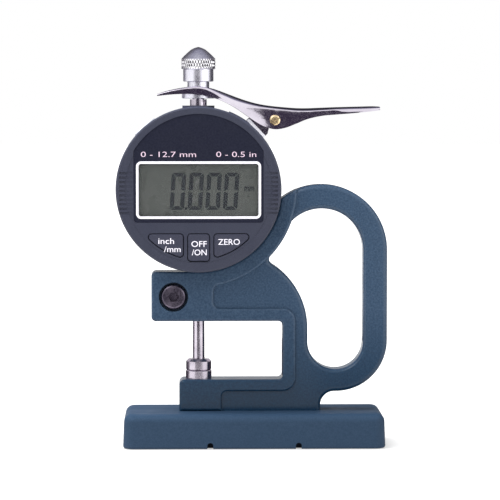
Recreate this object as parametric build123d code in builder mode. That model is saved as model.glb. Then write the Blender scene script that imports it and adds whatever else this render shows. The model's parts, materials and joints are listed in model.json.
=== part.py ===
from build123d import *
from math import cos, radians, sin, sqrt
import os

# Digital thickness gauge: a painted C frame with a handle loop stands on a base
# and clamps a round digital indicator. A lever lifts the indicator's spindle.
# Millimetres. X runs to the right, Y away from the viewer, Z up. The origin is
# the centre of the base's underside. The spindle runs along Z in the plane Y = 0.

os.makedirs("parts", exist_ok=True)

# Base
base_length = 92.3
base_depth = 34.0
base_height = 12.1
base_draft = 2.2
base_plan_radius = 4.0
base_top_radius = 2.8
base_foot_radius = 0.8
base_wall = 3.2
base_roof = 3.0
notch_spacing = 31.0
notch_width = 2.1
notch_height = 2.2
plate_thickness = 1.6
plate_ledge = 1.4
plate_gap = 0.15
plate_screw_d = 2.5
plate_screw_head_d = 4.6
plate_screw_inset_x = 9.0
plate_screw_inset_y = 8.5
plate_boss_d = 6.5
plate_screw_length = 6.1
plate_screw_play = 0.5
plate_slot_length = 2.4
plate_slot_width = 0.5
plate_slot_depth = 0.8
foot_screw_d = 4.0
foot_screw_head_d = 7.0
foot_screw_head_h = 4.0
foot_screw_socket = 3.0
foot_screw_socket_depth = 2.0
foot_screw_grip = 6.5
front_screw_offset = 10.0
rear_screw_offset = 4.8

# Spindle axis, and the radius of the case that the cradle follows
axis_x = -19.5
case_radius = 28.3

# Frame: widths and heights, the handle's place measured from the cradle
web_thickness = 10.0
rim_thickness = 12.0
web_edge_radius = 1.5
rim_edge_radius = 0.85
cradle_gap = 1.0
arm_reach = 16.7
arm_height = 17.5
arm_corner_radius = 1.6
rim_width = 4.6
strip_width = 5.5
throat_depth = 29.7
throat_height = 20.7
throat_radius = 1.6
rim_corner_radius = 4.6
lower_rim_width = 4.2
lower_block_height = 11.2
lower_block_reach = 6.9
lower_block_length = 15.0
lower_block_radius = 1.8
clamp_block_reach = 5.3
clamp_relief_radius = 2.2
lower_relief_radius = 2.0
foot_reach = 13.4
foot_blend_radius = 5.0
handle_top_offset = 8.7
handle_top_drop = 21.8
handle_top_radius = 23.3
handle_low_rise = 13.7
handle_low_radius = 18.1
grip_width = 8.55
loop_low_rise = 13.3
web_width = 8.85
web_arc_drop = 2.6
web_arc_radius = 26.75
neck_radius = 2.0
neck_reach = 9.0
neck_drop = 15.8
slot_width = 1.2

# Clamp screw
clamp_inset = 7.8
clamp_rise = 8.6
clamp_screw_d = 5.0
clamp_hole_gap = 0.2
clamp_head_d = 8.9
clamp_head_h = 2.9
clamp_head_dome = 1.0
clamp_socket = 3.3
clamp_socket_depth = 1.8
counterbore_d = 10.4
counterbore_depth = 3.2

# Anvil, contact point and spindle
anvil_d = 9.2
anvil_height = 3.0
anvil_edge = 0.3
anvil_shank_d = 5.0
anvil_shank_length = 5.5
contact_d = 9.0
contact_height = 4.0
contact_chamfer = 0.9
contact_edge = 0.3
contact_stud_d = 2.5
contact_stud_length = 4.0
spindle_d = 4.2
spindle_gap = 0.05
spindle_travel = 12.7
tenon_d = 3.4

# Indicator case
case_wall = 2.0
case_back = 7.0
bezel_back = -6.6
bezel_depth = 7.9
bezel_lip = 0.7
bezel_edge = 0.7
bezel_wall = 2.2
face_step = 0.2
face_step_inset = 3.3
pocket_depth = 1.3
face_wall = 1.0
cover_thickness = 1.5
cover_edge = 0.5
rib_count = 10
rib_pitch = 1.55
rib_groove = 0.75
rib_depth = 0.3
rib_top = 5.8
rib_length = 4.5
rib_inset = 1.4
boss_d = 5.2
boss_inset = 2.1
small_screw_d = 1.6
small_screw_length = 5.0
small_head_d = 3.0
small_head_h = 0.9
small_slot = 0.5
slot_overrun = 0.2
cover_slot_turn = 20
board_slot_turn = 65
bracket_slot_turn = 35
stem_d = 8.0
stem_chamfer = 0.5
stem_inset = 0.6
stem_boss_d = 13.0
stem_boss_height = 1.5
collar_height = 1.2
stem_collar_d = 11.0
bush_d = 6.0
bush_height = 2.2
bush_boss_d = 11.4
bush_boss_depth = 4.1
bush_boss_height = 1.0
bush_collar_d = 8.4
seat_angle = 43.2
seat_height = 0.6
seat_band_height = 1.05
seat_band_root = 0.5
seat_start_angle = 37.0
seat_end_angle = 68.0
seat_depth = 12.4
seat_cut_length = 22.0
seat_cut_height = 3.0
seat_hole_run = 0.6
port_angle = 131.0
port_width = 9.0
port_depth = 7.0
port_root = 1.4
port_height = 1.2
port_gap = 0.1
port_edge = 0.5
port_catch = 2.0
port_cut = 6.0

# Display and keys
panel_inset = 6.35
panel_top_inset = 2.6
panel_bottom = -11.5
panel_corner = 1.2
panel_gap = 0.05
window_inset = 0.85
window_top = 9.9
window_bottom = -10.15
window_corner = 1.75
lcd_inset = 0.9
lcd_half_height = 9.4
lcd_thickness = 1.8
lcd_clearance = 0.1
lcd_center = -0.1
lcd_gap = 0.3
strip_inset = 1.9
strip_height = 1.8
board_gap = 0.1
board_setback = 0.4
board_thickness = 1.2
key_gap = 0.28
key_top = -15.5
key_inset = 4.0
key_inner = 5.4
key_arc_inset = 4.6
key_corner = 1.1
mid_key_half_width = 3.75
key_recess = 0.15
key_flange = 0.7
key_flange_reach = 0.55
key_edge = 0.25
key_stem_d = 3.0
key_stem_drop = 3.6
key_stem_gap = 0.1
key_travel = 0.5
pad_thickness = 0.4
pad_margin = 1.2
dome_d = 5.0
dome_top_d = 3.4
dome_height = 1.2

# Measuring parts inside the case
carrier_width = 6.4
carrier_half_depth = 2.8
carrier_height = 10.0
carrier_drop = 11.3
scale_width = 6.4
scale_thickness = 0.8
scale_drop = 9.0
scale_length = 28.0
reader_width = 10.0
reader_height = 14.0
reader_gap = 0.3
guide_pin_d = 1.5
guide_pin_length = 2.7
guide_gap = 0.05
guide_half_width = 3.2
guide_thickness = 3.7
guide_below = 8.5
guide_above = 6.8
spring_gap = 0.22
spring_wire = 0.4
spring_turns = 8
battery_d = 20.0
battery_height = 3.2
battery_inset = 13.8
battery_setback = 0.6
battery_edge = 0.3
holder_wall = 0.9
holder_floor = 0.8
battery_gap = 0.15
battery_cover_d = 21.6
coin_slot_length = 12.0
coin_slot_width = 1.8
coin_slot_depth = 0.7

# Lifting knob, from its flange up to the tip of its cone
knob_gap = 0.32
knob_flange_height = 1.73
knob_groove_height = 4.2
knob_body_height = 4.35
knob_band_height = 3.85
knob_cone_height = 2.95
knob_tip_height = 1.1
knob_shoulder_r = 2.7
knob_band_r = 6.1
knob_body_r = 5.35
knob_neck_r = 3.85
knob_flange_r = 5.85
knob_bore_depth = 11.38
knob_cone_slope = 1.1

# Lever, bracket and pivot. The lever's outline runs from points round the knob's
# groove, measured from the axis and the groove's floor, to points round the pivot.
pivot_angle = 41.976
pivot_reach = 7.884
pivot_d = 2.4
pivot_gap = 0.05
pivot_head_d = 3.7
pivot_head_h = 1.0
pivot_head_dome = 0.6
pivot_slot = 0.6
pivot_slot_turn = 25
side_gap = 0.1
lever_sheet = 0.8
fork_top_points = ((-14.5, -0.25), (-4.7, 2.15), (1.3, 2.45))
arm_top_points = ((-17.6, 9.6), (-5.3, 5.6), (4.6, 4.4), (36.9, 4.9))
arm_end_point = (37.6, 3.9)
fork_slope = 0.42
arm_slope = 0.02
arm_low_points = ((36.6, 3.4), (22.6, 2.0), (11.6, 0.4), (0.0, -3.2), (-8.8, 0.8), (-15.8, 5.4))
fork_low_points = ((2.3, -0.75), (-4.7, -0.15), (-14.5, -0.85))
lever_half_width = 7.0
lever_bend = 0.5
fork_gap = 0.4
fork_slot_reach = 13.1
fork_slot_root = 5.3
bracket_sheet = 1.0
bracket_gap = 0.3
bracket_seat = 1.0
seat_plate_thickness = 1.1
bracket_seat_low = -2.5
bracket_seat_high = 5.9
bracket_boss_r = 2.7
bracket_toe = 0.5
bracket_shoulder = 3.0
bracket_screw_y = 3.1
bracket_screw_along = 1.4
nut_flats = 4.0
nut_height = 1.6
thread_end = 0.4


def front(depth):
    """Plane that faces the viewer at the given Y, with X and Z as its axes."""
    return Plane(origin=(0, depth, 0), x_dir=(1, 0, 0), z_dir=(0, -1, 0))


def dial(depth):
    """Plane that faces the viewer, centred on the indicator."""
    return Plane(origin=(axis_x, depth, dial_z), x_dir=(1, 0, 0), z_dir=(0, -1, 0))


def level(height, x=0.0):
    """Horizontal plane at the given height with its centre at the given X."""
    return Plane(origin=(x, 0, height), x_dir=(1, 0, 0), z_dir=(0, 0, 1))


def radial(angle, distance, along=0.0):
    """Plane across the radius of the indicator, at a distance from its centre.

    Its first axis runs round the case, its second axis along Y.
    """
    a = radians(angle)
    outward = Vector(cos(a), 0, sin(a))
    across = Vector(-sin(a), 0, cos(a))
    place = Vector(axis_x, 0, dial_z) + outward * distance + across * along
    return Plane(origin=place, x_dir=across, z_dir=outward)


def edges_at(part, depth):
    """Edges of the part that lie in the plane Y = depth."""
    return part.edges().filter_by_position(Axis.Y, depth - 0.001, depth + 0.001)


def save(piece, label):
    """Name the part and write its file."""
    piece.part.label = label
    export_step(piece.part, f"parts/{label}.step")


# Places that follow from the sizes: base, throat and arm from the floor up, then
# the indicator that sits in the cradle, and the handle beside it.
web_half = web_thickness / 2
rim_half = rim_thickness / 2
cradle_radius = case_radius + cradle_gap
strip_radius = cradle_radius + strip_width
throat_right = axis_x + throat_depth
throat_floor = base_height + lower_block_height
arm_left = axis_x - arm_reach
arm_bottom = throat_floor + throat_height
arm_top = arm_bottom + arm_height
dial_z = arm_top + cradle_radius
clamp_x = arm_left + clamp_inset
clamp_z = arm_bottom + clamp_rise
clamp_block_right = axis_x + clamp_block_reach
lower_block_left = axis_x - lower_block_reach
lower_block_right = lower_block_left + lower_block_length
foot_right = throat_right + foot_reach
foot_screw_x = (axis_x + front_screw_offset, throat_right + rear_screw_offset)
handle_top_x = axis_x + strip_radius + handle_top_offset
handle_top_z = dial_z - handle_top_drop
handle_right = handle_top_x + handle_top_radius
handle_low_x = handle_right - handle_low_radius
handle_low_z = throat_floor + handle_low_rise
grip_inner = handle_right - grip_width
web_right = throat_right + web_width
web_arc_x = web_right - web_arc_radius
web_arc_z = arm_bottom - web_arc_drop
loop_low_radius = (grip_inner - web_right) / 2
loop_low_x = grip_inner - loop_low_radius
loop_low_z = throat_floor + loop_low_rise
neck_top = dial_z - neck_drop

# Heights along the spindle
spindle_bore = spindle_d + 2 * spindle_gap
anvil_top = throat_floor + anvil_height
contact_top = anvil_top + contact_height
case_inner = case_radius - case_wall
stem_bottom = arm_bottom + stem_inset
stem_boss_top = dial_z - case_inner + stem_boss_height
bush_boss_bottom = dial_z + case_inner - bush_boss_depth
bush_boss_top = dial_z + case_radius + bush_boss_height
bush_top = bush_boss_top + bush_height
knob_bottom = bush_top + knob_gap
knob_groove_bottom = knob_bottom + knob_flange_height
knob_body_bottom = knob_groove_bottom + knob_groove_height
knob_band_bottom = knob_body_bottom + knob_body_height
knob_cone_bottom = knob_band_bottom + knob_band_height
knob_shoulder = knob_cone_bottom + knob_cone_height
knob_tip = knob_shoulder + knob_tip_height
carrier_bottom = dial_z - carrier_drop
carrier_top = carrier_bottom + carrier_height
carrier_middle = (carrier_bottom + carrier_top) / 2
scale_bottom = carrier_bottom - scale_drop
guide_bottom = carrier_middle - guide_below
guide_top = carrier_middle + spindle_travel + guide_above

# Layers of the indicator from its face to its back
bezel_radius = case_radius + bezel_lip
bezel_front = bezel_back - bezel_depth
panel_front = bezel_front + face_step
pocket_floor = bezel_front + pocket_depth
ledge_back = pocket_floor + face_wall
lcd_front = pocket_floor + lcd_clearance
lcd_back = lcd_front + lcd_thickness
key_front = bezel_front + key_recess
board_back = bezel_back - board_setback
board_front = board_back - board_thickness
boss_radius = case_inner - boss_inset
battery_front = case_back - battery_setback - battery_height
battery_offset = case_radius - battery_inset

# Outlines of its face, measured from its centre
panel_top_radius = bezel_radius - panel_top_inset
panel_half_width = bezel_radius - panel_inset
window_half_width = panel_half_width - window_inset
lcd_half_width = window_half_width - lcd_inset
key_arc_radius = bezel_radius - key_arc_inset
key_bottom = key_inset - bezel_radius
key_stem_z = key_top - key_stem_drop
side_key_x = (key_inner + sqrt(key_arc_radius**2 - key_stem_z**2)) / 2
rib_outer = bezel_radius - rib_inset

# Pivot of the lever, on a ray from the indicator's centre
pivot_distance = case_radius + pivot_reach
pivot_x = axis_x + pivot_distance * cos(radians(pivot_angle))
pivot_z = dial_z + pivot_distance * sin(radians(pivot_angle))

# Base: drafted shell with rounded top, bosses inside and notches below.
cavity_length = base_length - 2 * base_wall - 2 * plate_ledge
cavity_depth = base_depth - 2 * base_wall - 2 * plate_ledge
plate_length = base_length - 2 * base_wall
plate_depth = base_depth - 2 * base_wall
plate_screw_x = base_length / 2 - plate_screw_inset_x
plate_screw_y = base_depth / 2 - plate_screw_inset_y
cavity_top = base_height - base_roof

with BuildPart() as base:
    with BuildSketch(level(0)):
        RectangleRounded(base_length, base_depth, base_plan_radius)
    extrude(amount=base_height, taper=base_draft)
    fillet(base.faces().sort_by(Axis.Z)[-1].edges(), base_top_radius)
    fillet(base.faces().sort_by(Axis.Z)[0].edges(), base_foot_radius)
    with BuildSketch(level(0)):
        RectangleRounded(plate_length, plate_depth, base_plan_radius / 2)
    extrude(amount=plate_thickness, mode=Mode.SUBTRACT)
    with BuildSketch(level(plate_thickness)):
        RectangleRounded(cavity_length, cavity_depth, base_plan_radius / 2)
    extrude(amount=cavity_top - plate_thickness, mode=Mode.SUBTRACT)
    with BuildSketch(level(plate_thickness)):
        with GridLocations(2 * plate_screw_x, 2 * plate_screw_y, 2, 2):
            Circle(plate_boss_d / 2)
    extrude(amount=cavity_top - plate_thickness + base_roof / 2)
    with BuildSketch(level(plate_thickness)):
        with GridLocations(2 * plate_screw_x, 2 * plate_screw_y, 2, 2):
            Circle(plate_screw_d / 2)
    extrude(
        amount=plate_screw_length + plate_screw_play - plate_thickness, mode=Mode.SUBTRACT
    )
    with BuildSketch(level(cavity_top)):
        for x in foot_screw_x:
            with Locations((x, 0)):
                Circle(foot_screw_d / 2)
    extrude(amount=base_roof, mode=Mode.SUBTRACT)
    with BuildSketch(front(base_depth / 2)):
        for x in (-notch_spacing / 2, notch_spacing / 2):
            with Locations((x, 0)):
                Rectangle(notch_width, 2 * (notch_height - notch_width / 2))
            with Locations((x, notch_height - notch_width / 2)):
                Circle(notch_width / 2)
    extrude(amount=base_depth, mode=Mode.SUBTRACT)
save(base, "base")

# Steel plate that closes the base from below, flush with its rim.
with BuildPart() as base_plate:
    with BuildSketch(level(0)):
        RectangleRounded(
            plate_length - 2 * plate_gap, plate_depth - 2 * plate_gap, base_plan_radius / 2
        )
    extrude(amount=plate_thickness)
    with Locations(level(0)):
        with GridLocations(2 * plate_screw_x, 2 * plate_screw_y, 2, 2):
            Cone(
                plate_screw_head_d / 2,
                plate_screw_d / 2,
                plate_thickness,
                align=(Align.CENTER, Align.CENTER, Align.MIN),
                mode=Mode.SUBTRACT,
            )
save(base_plate, "base_plate")

# Countersunk screws of the plate, with crossed slots.
with BuildPart() as plate_screws:
    with Locations(level(0)):
        with GridLocations(2 * plate_screw_x, 2 * plate_screw_y, 2, 2):
            Cone(
                plate_screw_head_d / 2,
                plate_screw_d / 2,
                plate_thickness,
                align=(Align.CENTER, Align.CENTER, Align.MIN),
            )
            Cylinder(
                plate_screw_d / 2,
                plate_screw_length,
                align=(Align.CENTER, Align.CENTER, Align.MIN),
            )
            Box(plate_slot_length, plate_slot_width, 2 * plate_slot_depth, mode=Mode.SUBTRACT)
            Box(plate_slot_width, plate_slot_length, 2 * plate_slot_depth, mode=Mode.SUBTRACT)
save(plate_screws, "plate_screws")

# Socket head screws that draw the frame down onto the base.
with BuildPart() as foot_screws:
    with BuildSketch(level(cavity_top)):
        for x in foot_screw_x:
            with Locations((x, 0)):
                Circle(foot_screw_d / 2)
    extrude(amount=base_roof + foot_screw_grip)
    with BuildSketch(level(cavity_top)):
        for x in foot_screw_x:
            with Locations((x, 0)):
                Circle(foot_screw_head_d / 2)
    extrude(amount=-foot_screw_head_h)
    with BuildSketch(level(cavity_top - foot_screw_head_h)):
        for x in foot_screw_x:
            with Locations((x, 0)):
                RegularPolygon(foot_screw_socket / 2, 6, major_radius=False)
    extrude(amount=foot_screw_socket_depth, mode=Mode.SUBTRACT)
save(foot_screws, "foot_screws")

# Outlines of the frame. The hull of two circles gives the handle's straight
# grip, and the cradle, the neck and the web's shoulder are circles too.
with BuildSketch(front(web_half)) as outline:
    with BuildSketch(front(web_half), mode=Mode.PRIVATE) as handle:
        with Locations((handle_top_x, handle_top_z)):
            Circle(handle_top_radius)
        with Locations((handle_low_x, handle_low_z)):
            Circle(handle_low_radius)
        make_hull()
    add(handle.sketch_local)
    with Locations((axis_x, arm_bottom)):
        Rectangle(throat_depth + rim_width, arm_height, align=(Align.MIN, Align.MIN))
    with Locations((axis_x, base_height)):
        Rectangle(foot_right - axis_x, lower_block_height, align=(Align.MIN, Align.MIN))
    with Locations((throat_right, throat_floor)):
        Rectangle(
            handle_low_x - throat_right, throat_height, align=(Align.MIN, Align.MIN)
        )
    with Locations((axis_x, arm_bottom)):
        Rectangle(throat_depth, neck_top - arm_bottom, align=(Align.MIN, Align.MIN))

# Opening of the handle: round at the top and at the foot, straight along the
# grip, and bounded by the cradle strip and the web's shoulder on the other side.
with BuildSketch(front(web_half)) as loop:
    with Locations((handle_top_x, handle_top_z)):
        Circle(handle_top_radius - grip_width)
    with Locations((web_arc_x, web_arc_z)):
        Rectangle(
            handle_top_x - web_arc_x,
            handle_top_z + neck_reach - web_arc_z,
            align=(Align.MIN, Align.MIN),
        )
    with Locations((handle_top_x, web_arc_z)):
        Rectangle(
            grip_inner - handle_top_x, handle_top_z - web_arc_z, align=(Align.MIN, Align.MIN)
        )
    with Locations((axis_x, dial_z)):
        Circle(strip_radius, mode=Mode.SUBTRACT)
    with Locations((web_arc_x, web_arc_z)):
        Circle(web_arc_radius, mode=Mode.SUBTRACT)
    with Locations((web_right, loop_low_z)):
        Rectangle(
            grip_inner - web_right, web_arc_z - loop_low_z, align=(Align.MIN, Align.MIN)
        )
    with Locations((loop_low_x, loop_low_z)):
        Circle(loop_low_radius)
    fillet(loop.vertices().sort_by(Axis.X)[0], neck_radius)
    fillet(loop.vertices().sort_by(Axis.Y)[-1], neck_radius)

with BuildSketch(front(web_half)) as throat:
    with Locations((throat_right, throat_floor)):
        Rectangle(throat_depth + 2 * arm_reach, throat_height, align=(Align.MAX, Align.MIN))
    fillet(throat.vertices().sort_by(Axis.X)[-2:], throat_radius)

with BuildSketch(front(web_half)) as web_shape:
    add(outline.sketch_local)
    with Locations((axis_x, dial_z)):
        Circle(cradle_radius, mode=Mode.SUBTRACT)
    blend_z = handle_low_z - sqrt(handle_low_radius**2 - (foot_right - handle_low_x) ** 2)
    blend = web_shape.vertices().sort_by_distance((foot_right, blend_z, 0))[0]
    fillet(blend, foot_blend_radius)

with BuildSketch(front(rim_half)) as rim_shape:
    rim_right = throat_right + rim_width
    with BuildSketch(front(rim_half), mode=Mode.PRIVATE) as ring:
        with Locations((arm_left, throat_floor - lower_rim_width)):
            Rectangle(
                rim_right - arm_left,
                lower_rim_width + throat_height + rim_width,
                align=(Align.MIN, Align.MIN),
            )
        fillet(ring.vertices().sort_by(Axis.X)[-2:], rim_corner_radius)
    add(ring.sketch_local)
    with Locations((arm_left, throat_floor - lower_rim_width - 1)):
        Rectangle(
            lower_block_left - arm_left,
            lower_rim_width + 2,
            align=(Align.MIN, Align.MIN),
            mode=Mode.SUBTRACT,
        )
    with Locations((arm_left, arm_bottom)):
        Rectangle(clamp_block_right - arm_left, arm_height, align=(Align.MIN, Align.MIN))
    with Locations((lower_block_left, base_height)):
        Rectangle(lower_block_length, lower_block_height, align=(Align.MIN, Align.MIN))
    with BuildSketch(front(rim_half), mode=Mode.PRIVATE) as strip:
        with Locations((axis_x, dial_z)):
            Circle(strip_radius)
        add(outline.sketch_local, mode=Mode.INTERSECT)
    add(strip.sketch_local)
    strip_z = dial_z - sqrt(strip_radius**2 - clamp_block_reach**2)
    for corner, radius in (
        ((clamp_block_right, arm_bottom + rim_width, 0), clamp_relief_radius),
        ((clamp_block_right, strip_z, 0), clamp_relief_radius),
        ((lower_block_right, throat_floor - lower_rim_width, 0), lower_relief_radius),
    ):
        fillet(rim_shape.vertices().sort_by_distance(corner)[0], radius)
    with Locations((axis_x, dial_z)):
        Circle(cradle_radius, mode=Mode.SUBTRACT)

# Raised rim: clamp block, C round the throat, lower block and cradle strip.
with BuildPart() as frame_rim:
    with BuildSketch(front(rim_half)):
        add(rim_shape.sketch_local)
        add(throat.sketch_local, mode=Mode.SUBTRACT)
        add(loop.sketch_local, mode=Mode.SUBTRACT)
    extrude(amount=rim_thickness)
    uprights = frame_rim.edges().filter_by(Axis.Y)
    fillet(
        [
            uprights.sort_by_distance((arm_left, 0, arm_bottom))[0],
            uprights.sort_by_distance((arm_left, 0, arm_top))[0],
        ],
        arm_corner_radius,
    )
    fillet(
        frame_rim.edges().filter_by(Axis.Y).sort_by_distance(
            (lower_block_left, 0, throat_floor)
        )[0],
        lower_block_radius,
    )
    rim_edges = edges_at(frame_rim.part, rim_half) + edges_at(frame_rim.part, -rim_half)
    fillet(rim_edges, rim_edge_radius)

# Thinner plate: web, handle and foot, with rounded edges where they show.
with BuildPart() as frame_web:
    with BuildSketch(front(web_half)):
        add(web_shape.sketch_local)
        add(throat.sketch_local, mode=Mode.SUBTRACT)
        add(loop.sketch_local, mode=Mode.SUBTRACT)
    extrude(amount=web_thickness)
    rounded = []
    for side in frame_web.faces().filter_by(Axis.Y):
        rounded += side.inner_wires()[0].edges()
        outer = side.outer_wire().edges()
        rounded += outer.filter_by(lambda edge: edge.center().X > foot_right - 1)
    fillet(rounded, web_edge_radius)

# The frame as one casting, with the stem bore, the saw slot that lets the jaw
# close, the clamp screw's hole, the anvil's seat and the screw holes of the foot.
with BuildPart() as frame:
    add(frame_web.part)
    add(frame_rim.part)
    with BuildSketch(level(arm_bottom, axis_x)):
        Circle(stem_d / 2)
    extrude(amount=arm_height + 2, mode=Mode.SUBTRACT)
    with BuildSketch(level(arm_bottom - 1)):
        with Locations((axis_x, 0)):
            Rectangle(arm_reach + 1, slot_width, align=(Align.MAX, Align.CENTER))
    extrude(amount=arm_height + 2, mode=Mode.SUBTRACT)
    with BuildSketch(front(-rim_half)):
        with Locations((clamp_x, clamp_z)):
            Circle(counterbore_d / 2)
    extrude(amount=-counterbore_depth, mode=Mode.SUBTRACT)
    with BuildSketch(front(-rim_half)):
        with Locations((clamp_x, clamp_z)):
            Circle(clamp_screw_d / 2 + clamp_hole_gap)
    extrude(amount=-rim_half, mode=Mode.SUBTRACT)
    with BuildSketch(front(0)):
        with Locations((clamp_x, clamp_z)):
            Circle(clamp_screw_d / 2)
    extrude(amount=-rim_half, mode=Mode.SUBTRACT)
    with BuildSketch(level(throat_floor, axis_x)):
        Circle(anvil_shank_d / 2)
    extrude(amount=-anvil_shank_length, mode=Mode.SUBTRACT)
    with BuildSketch(level(base_height)):
        for x in foot_screw_x:
            with Locations((x, 0)):
                Circle(foot_screw_d / 2)
    extrude(amount=foot_screw_grip, mode=Mode.SUBTRACT)
save(frame, "frame")

# Clamp screw with a domed head and a hexagon socket.
head_seat = counterbore_depth - rim_half
head_front = head_seat - clamp_head_h
with BuildPart() as clamp_screw:
    with BuildSketch(front(head_seat)):
        with Locations((clamp_x, clamp_z)):
            Circle(clamp_head_d / 2)
    extrude(amount=clamp_head_h)
    fillet(clamp_screw.faces().sort_by(Axis.Y)[0].edges(), clamp_head_dome)
    with BuildSketch(front(head_seat)):
        with Locations((clamp_x, clamp_z)):
            Circle(clamp_screw_d / 2)
    extrude(amount=head_seat - rim_half + thread_end)
    with BuildSketch(front(head_front)):
        with Locations((clamp_x, clamp_z)):
            RegularPolygon(clamp_socket / 2, 6, major_radius=False)
    extrude(amount=-clamp_socket_depth, mode=Mode.SUBTRACT)
save(clamp_screw, "clamp_screw")

# Anvil: flat disc with a shank pressed into the lower block.
with BuildPart() as anvil:
    with BuildSketch(level(throat_floor, axis_x)):
        Circle(anvil_d / 2)
    extrude(amount=anvil_height)
    chamfer(anvil.faces().sort_by(Axis.Z)[-1].edges(), anvil_edge)
    with BuildSketch(level(throat_floor, axis_x)):
        Circle(anvil_shank_d / 2)
    extrude(amount=-anvil_shank_length)
save(anvil, "anvil")

# Contact point: flat disc with a threaded stud that enters the spindle.
with BuildPart() as contact_point:
    with BuildSketch(level(anvil_top, axis_x)):
        Circle(contact_d / 2)
    extrude(amount=contact_height)
    chamfer(contact_point.faces().sort_by(Axis.Z)[-1].edges(), contact_chamfer)
    chamfer(contact_point.faces().sort_by(Axis.Z)[0].edges(), contact_edge)
    with BuildSketch(level(contact_top, axis_x)):
        Circle(contact_stud_d / 2)
    extrude(amount=contact_stud_length)
save(contact_point, "contact_point")

# Spindle: ground rod with a bore for the contact's stud and a thinner top end.
with BuildPart() as spindle:
    with BuildSketch(level(contact_top, axis_x)):
        Circle(spindle_d / 2)
    extrude(amount=knob_bottom - contact_top)
    with BuildSketch(level(knob_bottom, axis_x)):
        Circle(tenon_d / 2)
    extrude(amount=knob_bore_depth)
    with BuildSketch(level(contact_top, axis_x)):
        Circle(contact_stud_d / 2)
    extrude(amount=contact_stud_length, mode=Mode.SUBTRACT)
save(spindle, "spindle")

# Lifting knob, turned in one piece: cone, band, body, groove and flange.
with BuildPart() as knob:
    with BuildSketch(Plane(origin=(axis_x, 0, 0), x_dir=(1, 0, 0), z_dir=(0, -1, 0))):
        with BuildLine():
            tip = Spline(
                (0, knob_tip),
                (knob_shoulder_r, knob_shoulder),
                (knob_band_r, knob_cone_bottom),
                tangents=((1, 0), (1, -knob_cone_slope)),
            )
            Polyline(
                tip @ 1,
                (knob_band_r, knob_band_bottom),
                (knob_body_r, knob_band_bottom),
                (knob_body_r, knob_body_bottom),
                (knob_neck_r, knob_body_bottom),
                (knob_neck_r, knob_groove_bottom),
                (knob_flange_r, knob_groove_bottom),
                (knob_flange_r, knob_bottom),
                (0, knob_bottom),
                tip @ 0,
            )
        make_face()
    revolve(axis=Axis((axis_x, 0, 0), (0, 0, 1)))
    with BuildSketch(level(knob_bottom, axis_x)):
        Circle(tenon_d / 2)
    extrude(amount=knob_bore_depth, mode=Mode.SUBTRACT)
save(knob, "knob")

# Stem that the arm clamps, and the bush at the top: both guide the spindle.
with BuildPart() as stem:
    with BuildSketch(level(stem_bottom, axis_x)):
        Circle(stem_d / 2)
    extrude(amount=stem_boss_top - stem_bottom)
    with BuildSketch(level(stem_boss_top, axis_x)):
        Circle(stem_collar_d / 2)
    extrude(amount=collar_height)
    with BuildSketch(level(stem_bottom, axis_x)):
        Circle(spindle_bore / 2)
    extrude(amount=stem_boss_top + collar_height - stem_bottom, mode=Mode.SUBTRACT)
    chamfer(stem.faces().sort_by(Axis.Z)[0].outer_wire().edges(), stem_chamfer)
save(stem, "stem")

with BuildPart() as top_bush:
    with BuildSketch(level(bush_boss_bottom, axis_x)):
        Circle(bush_d / 2)
    extrude(amount=bush_top - bush_boss_bottom)
    with BuildSketch(level(bush_boss_bottom, axis_x)):
        Circle(bush_collar_d / 2)
    extrude(amount=-collar_height)
    with BuildSketch(level(bush_boss_bottom - collar_height, axis_x)):
        Circle(spindle_bore / 2)
    extrude(amount=bush_top - bush_boss_bottom + collar_height, mode=Mode.SUBTRACT)
save(top_bush, "top_bush")

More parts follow.
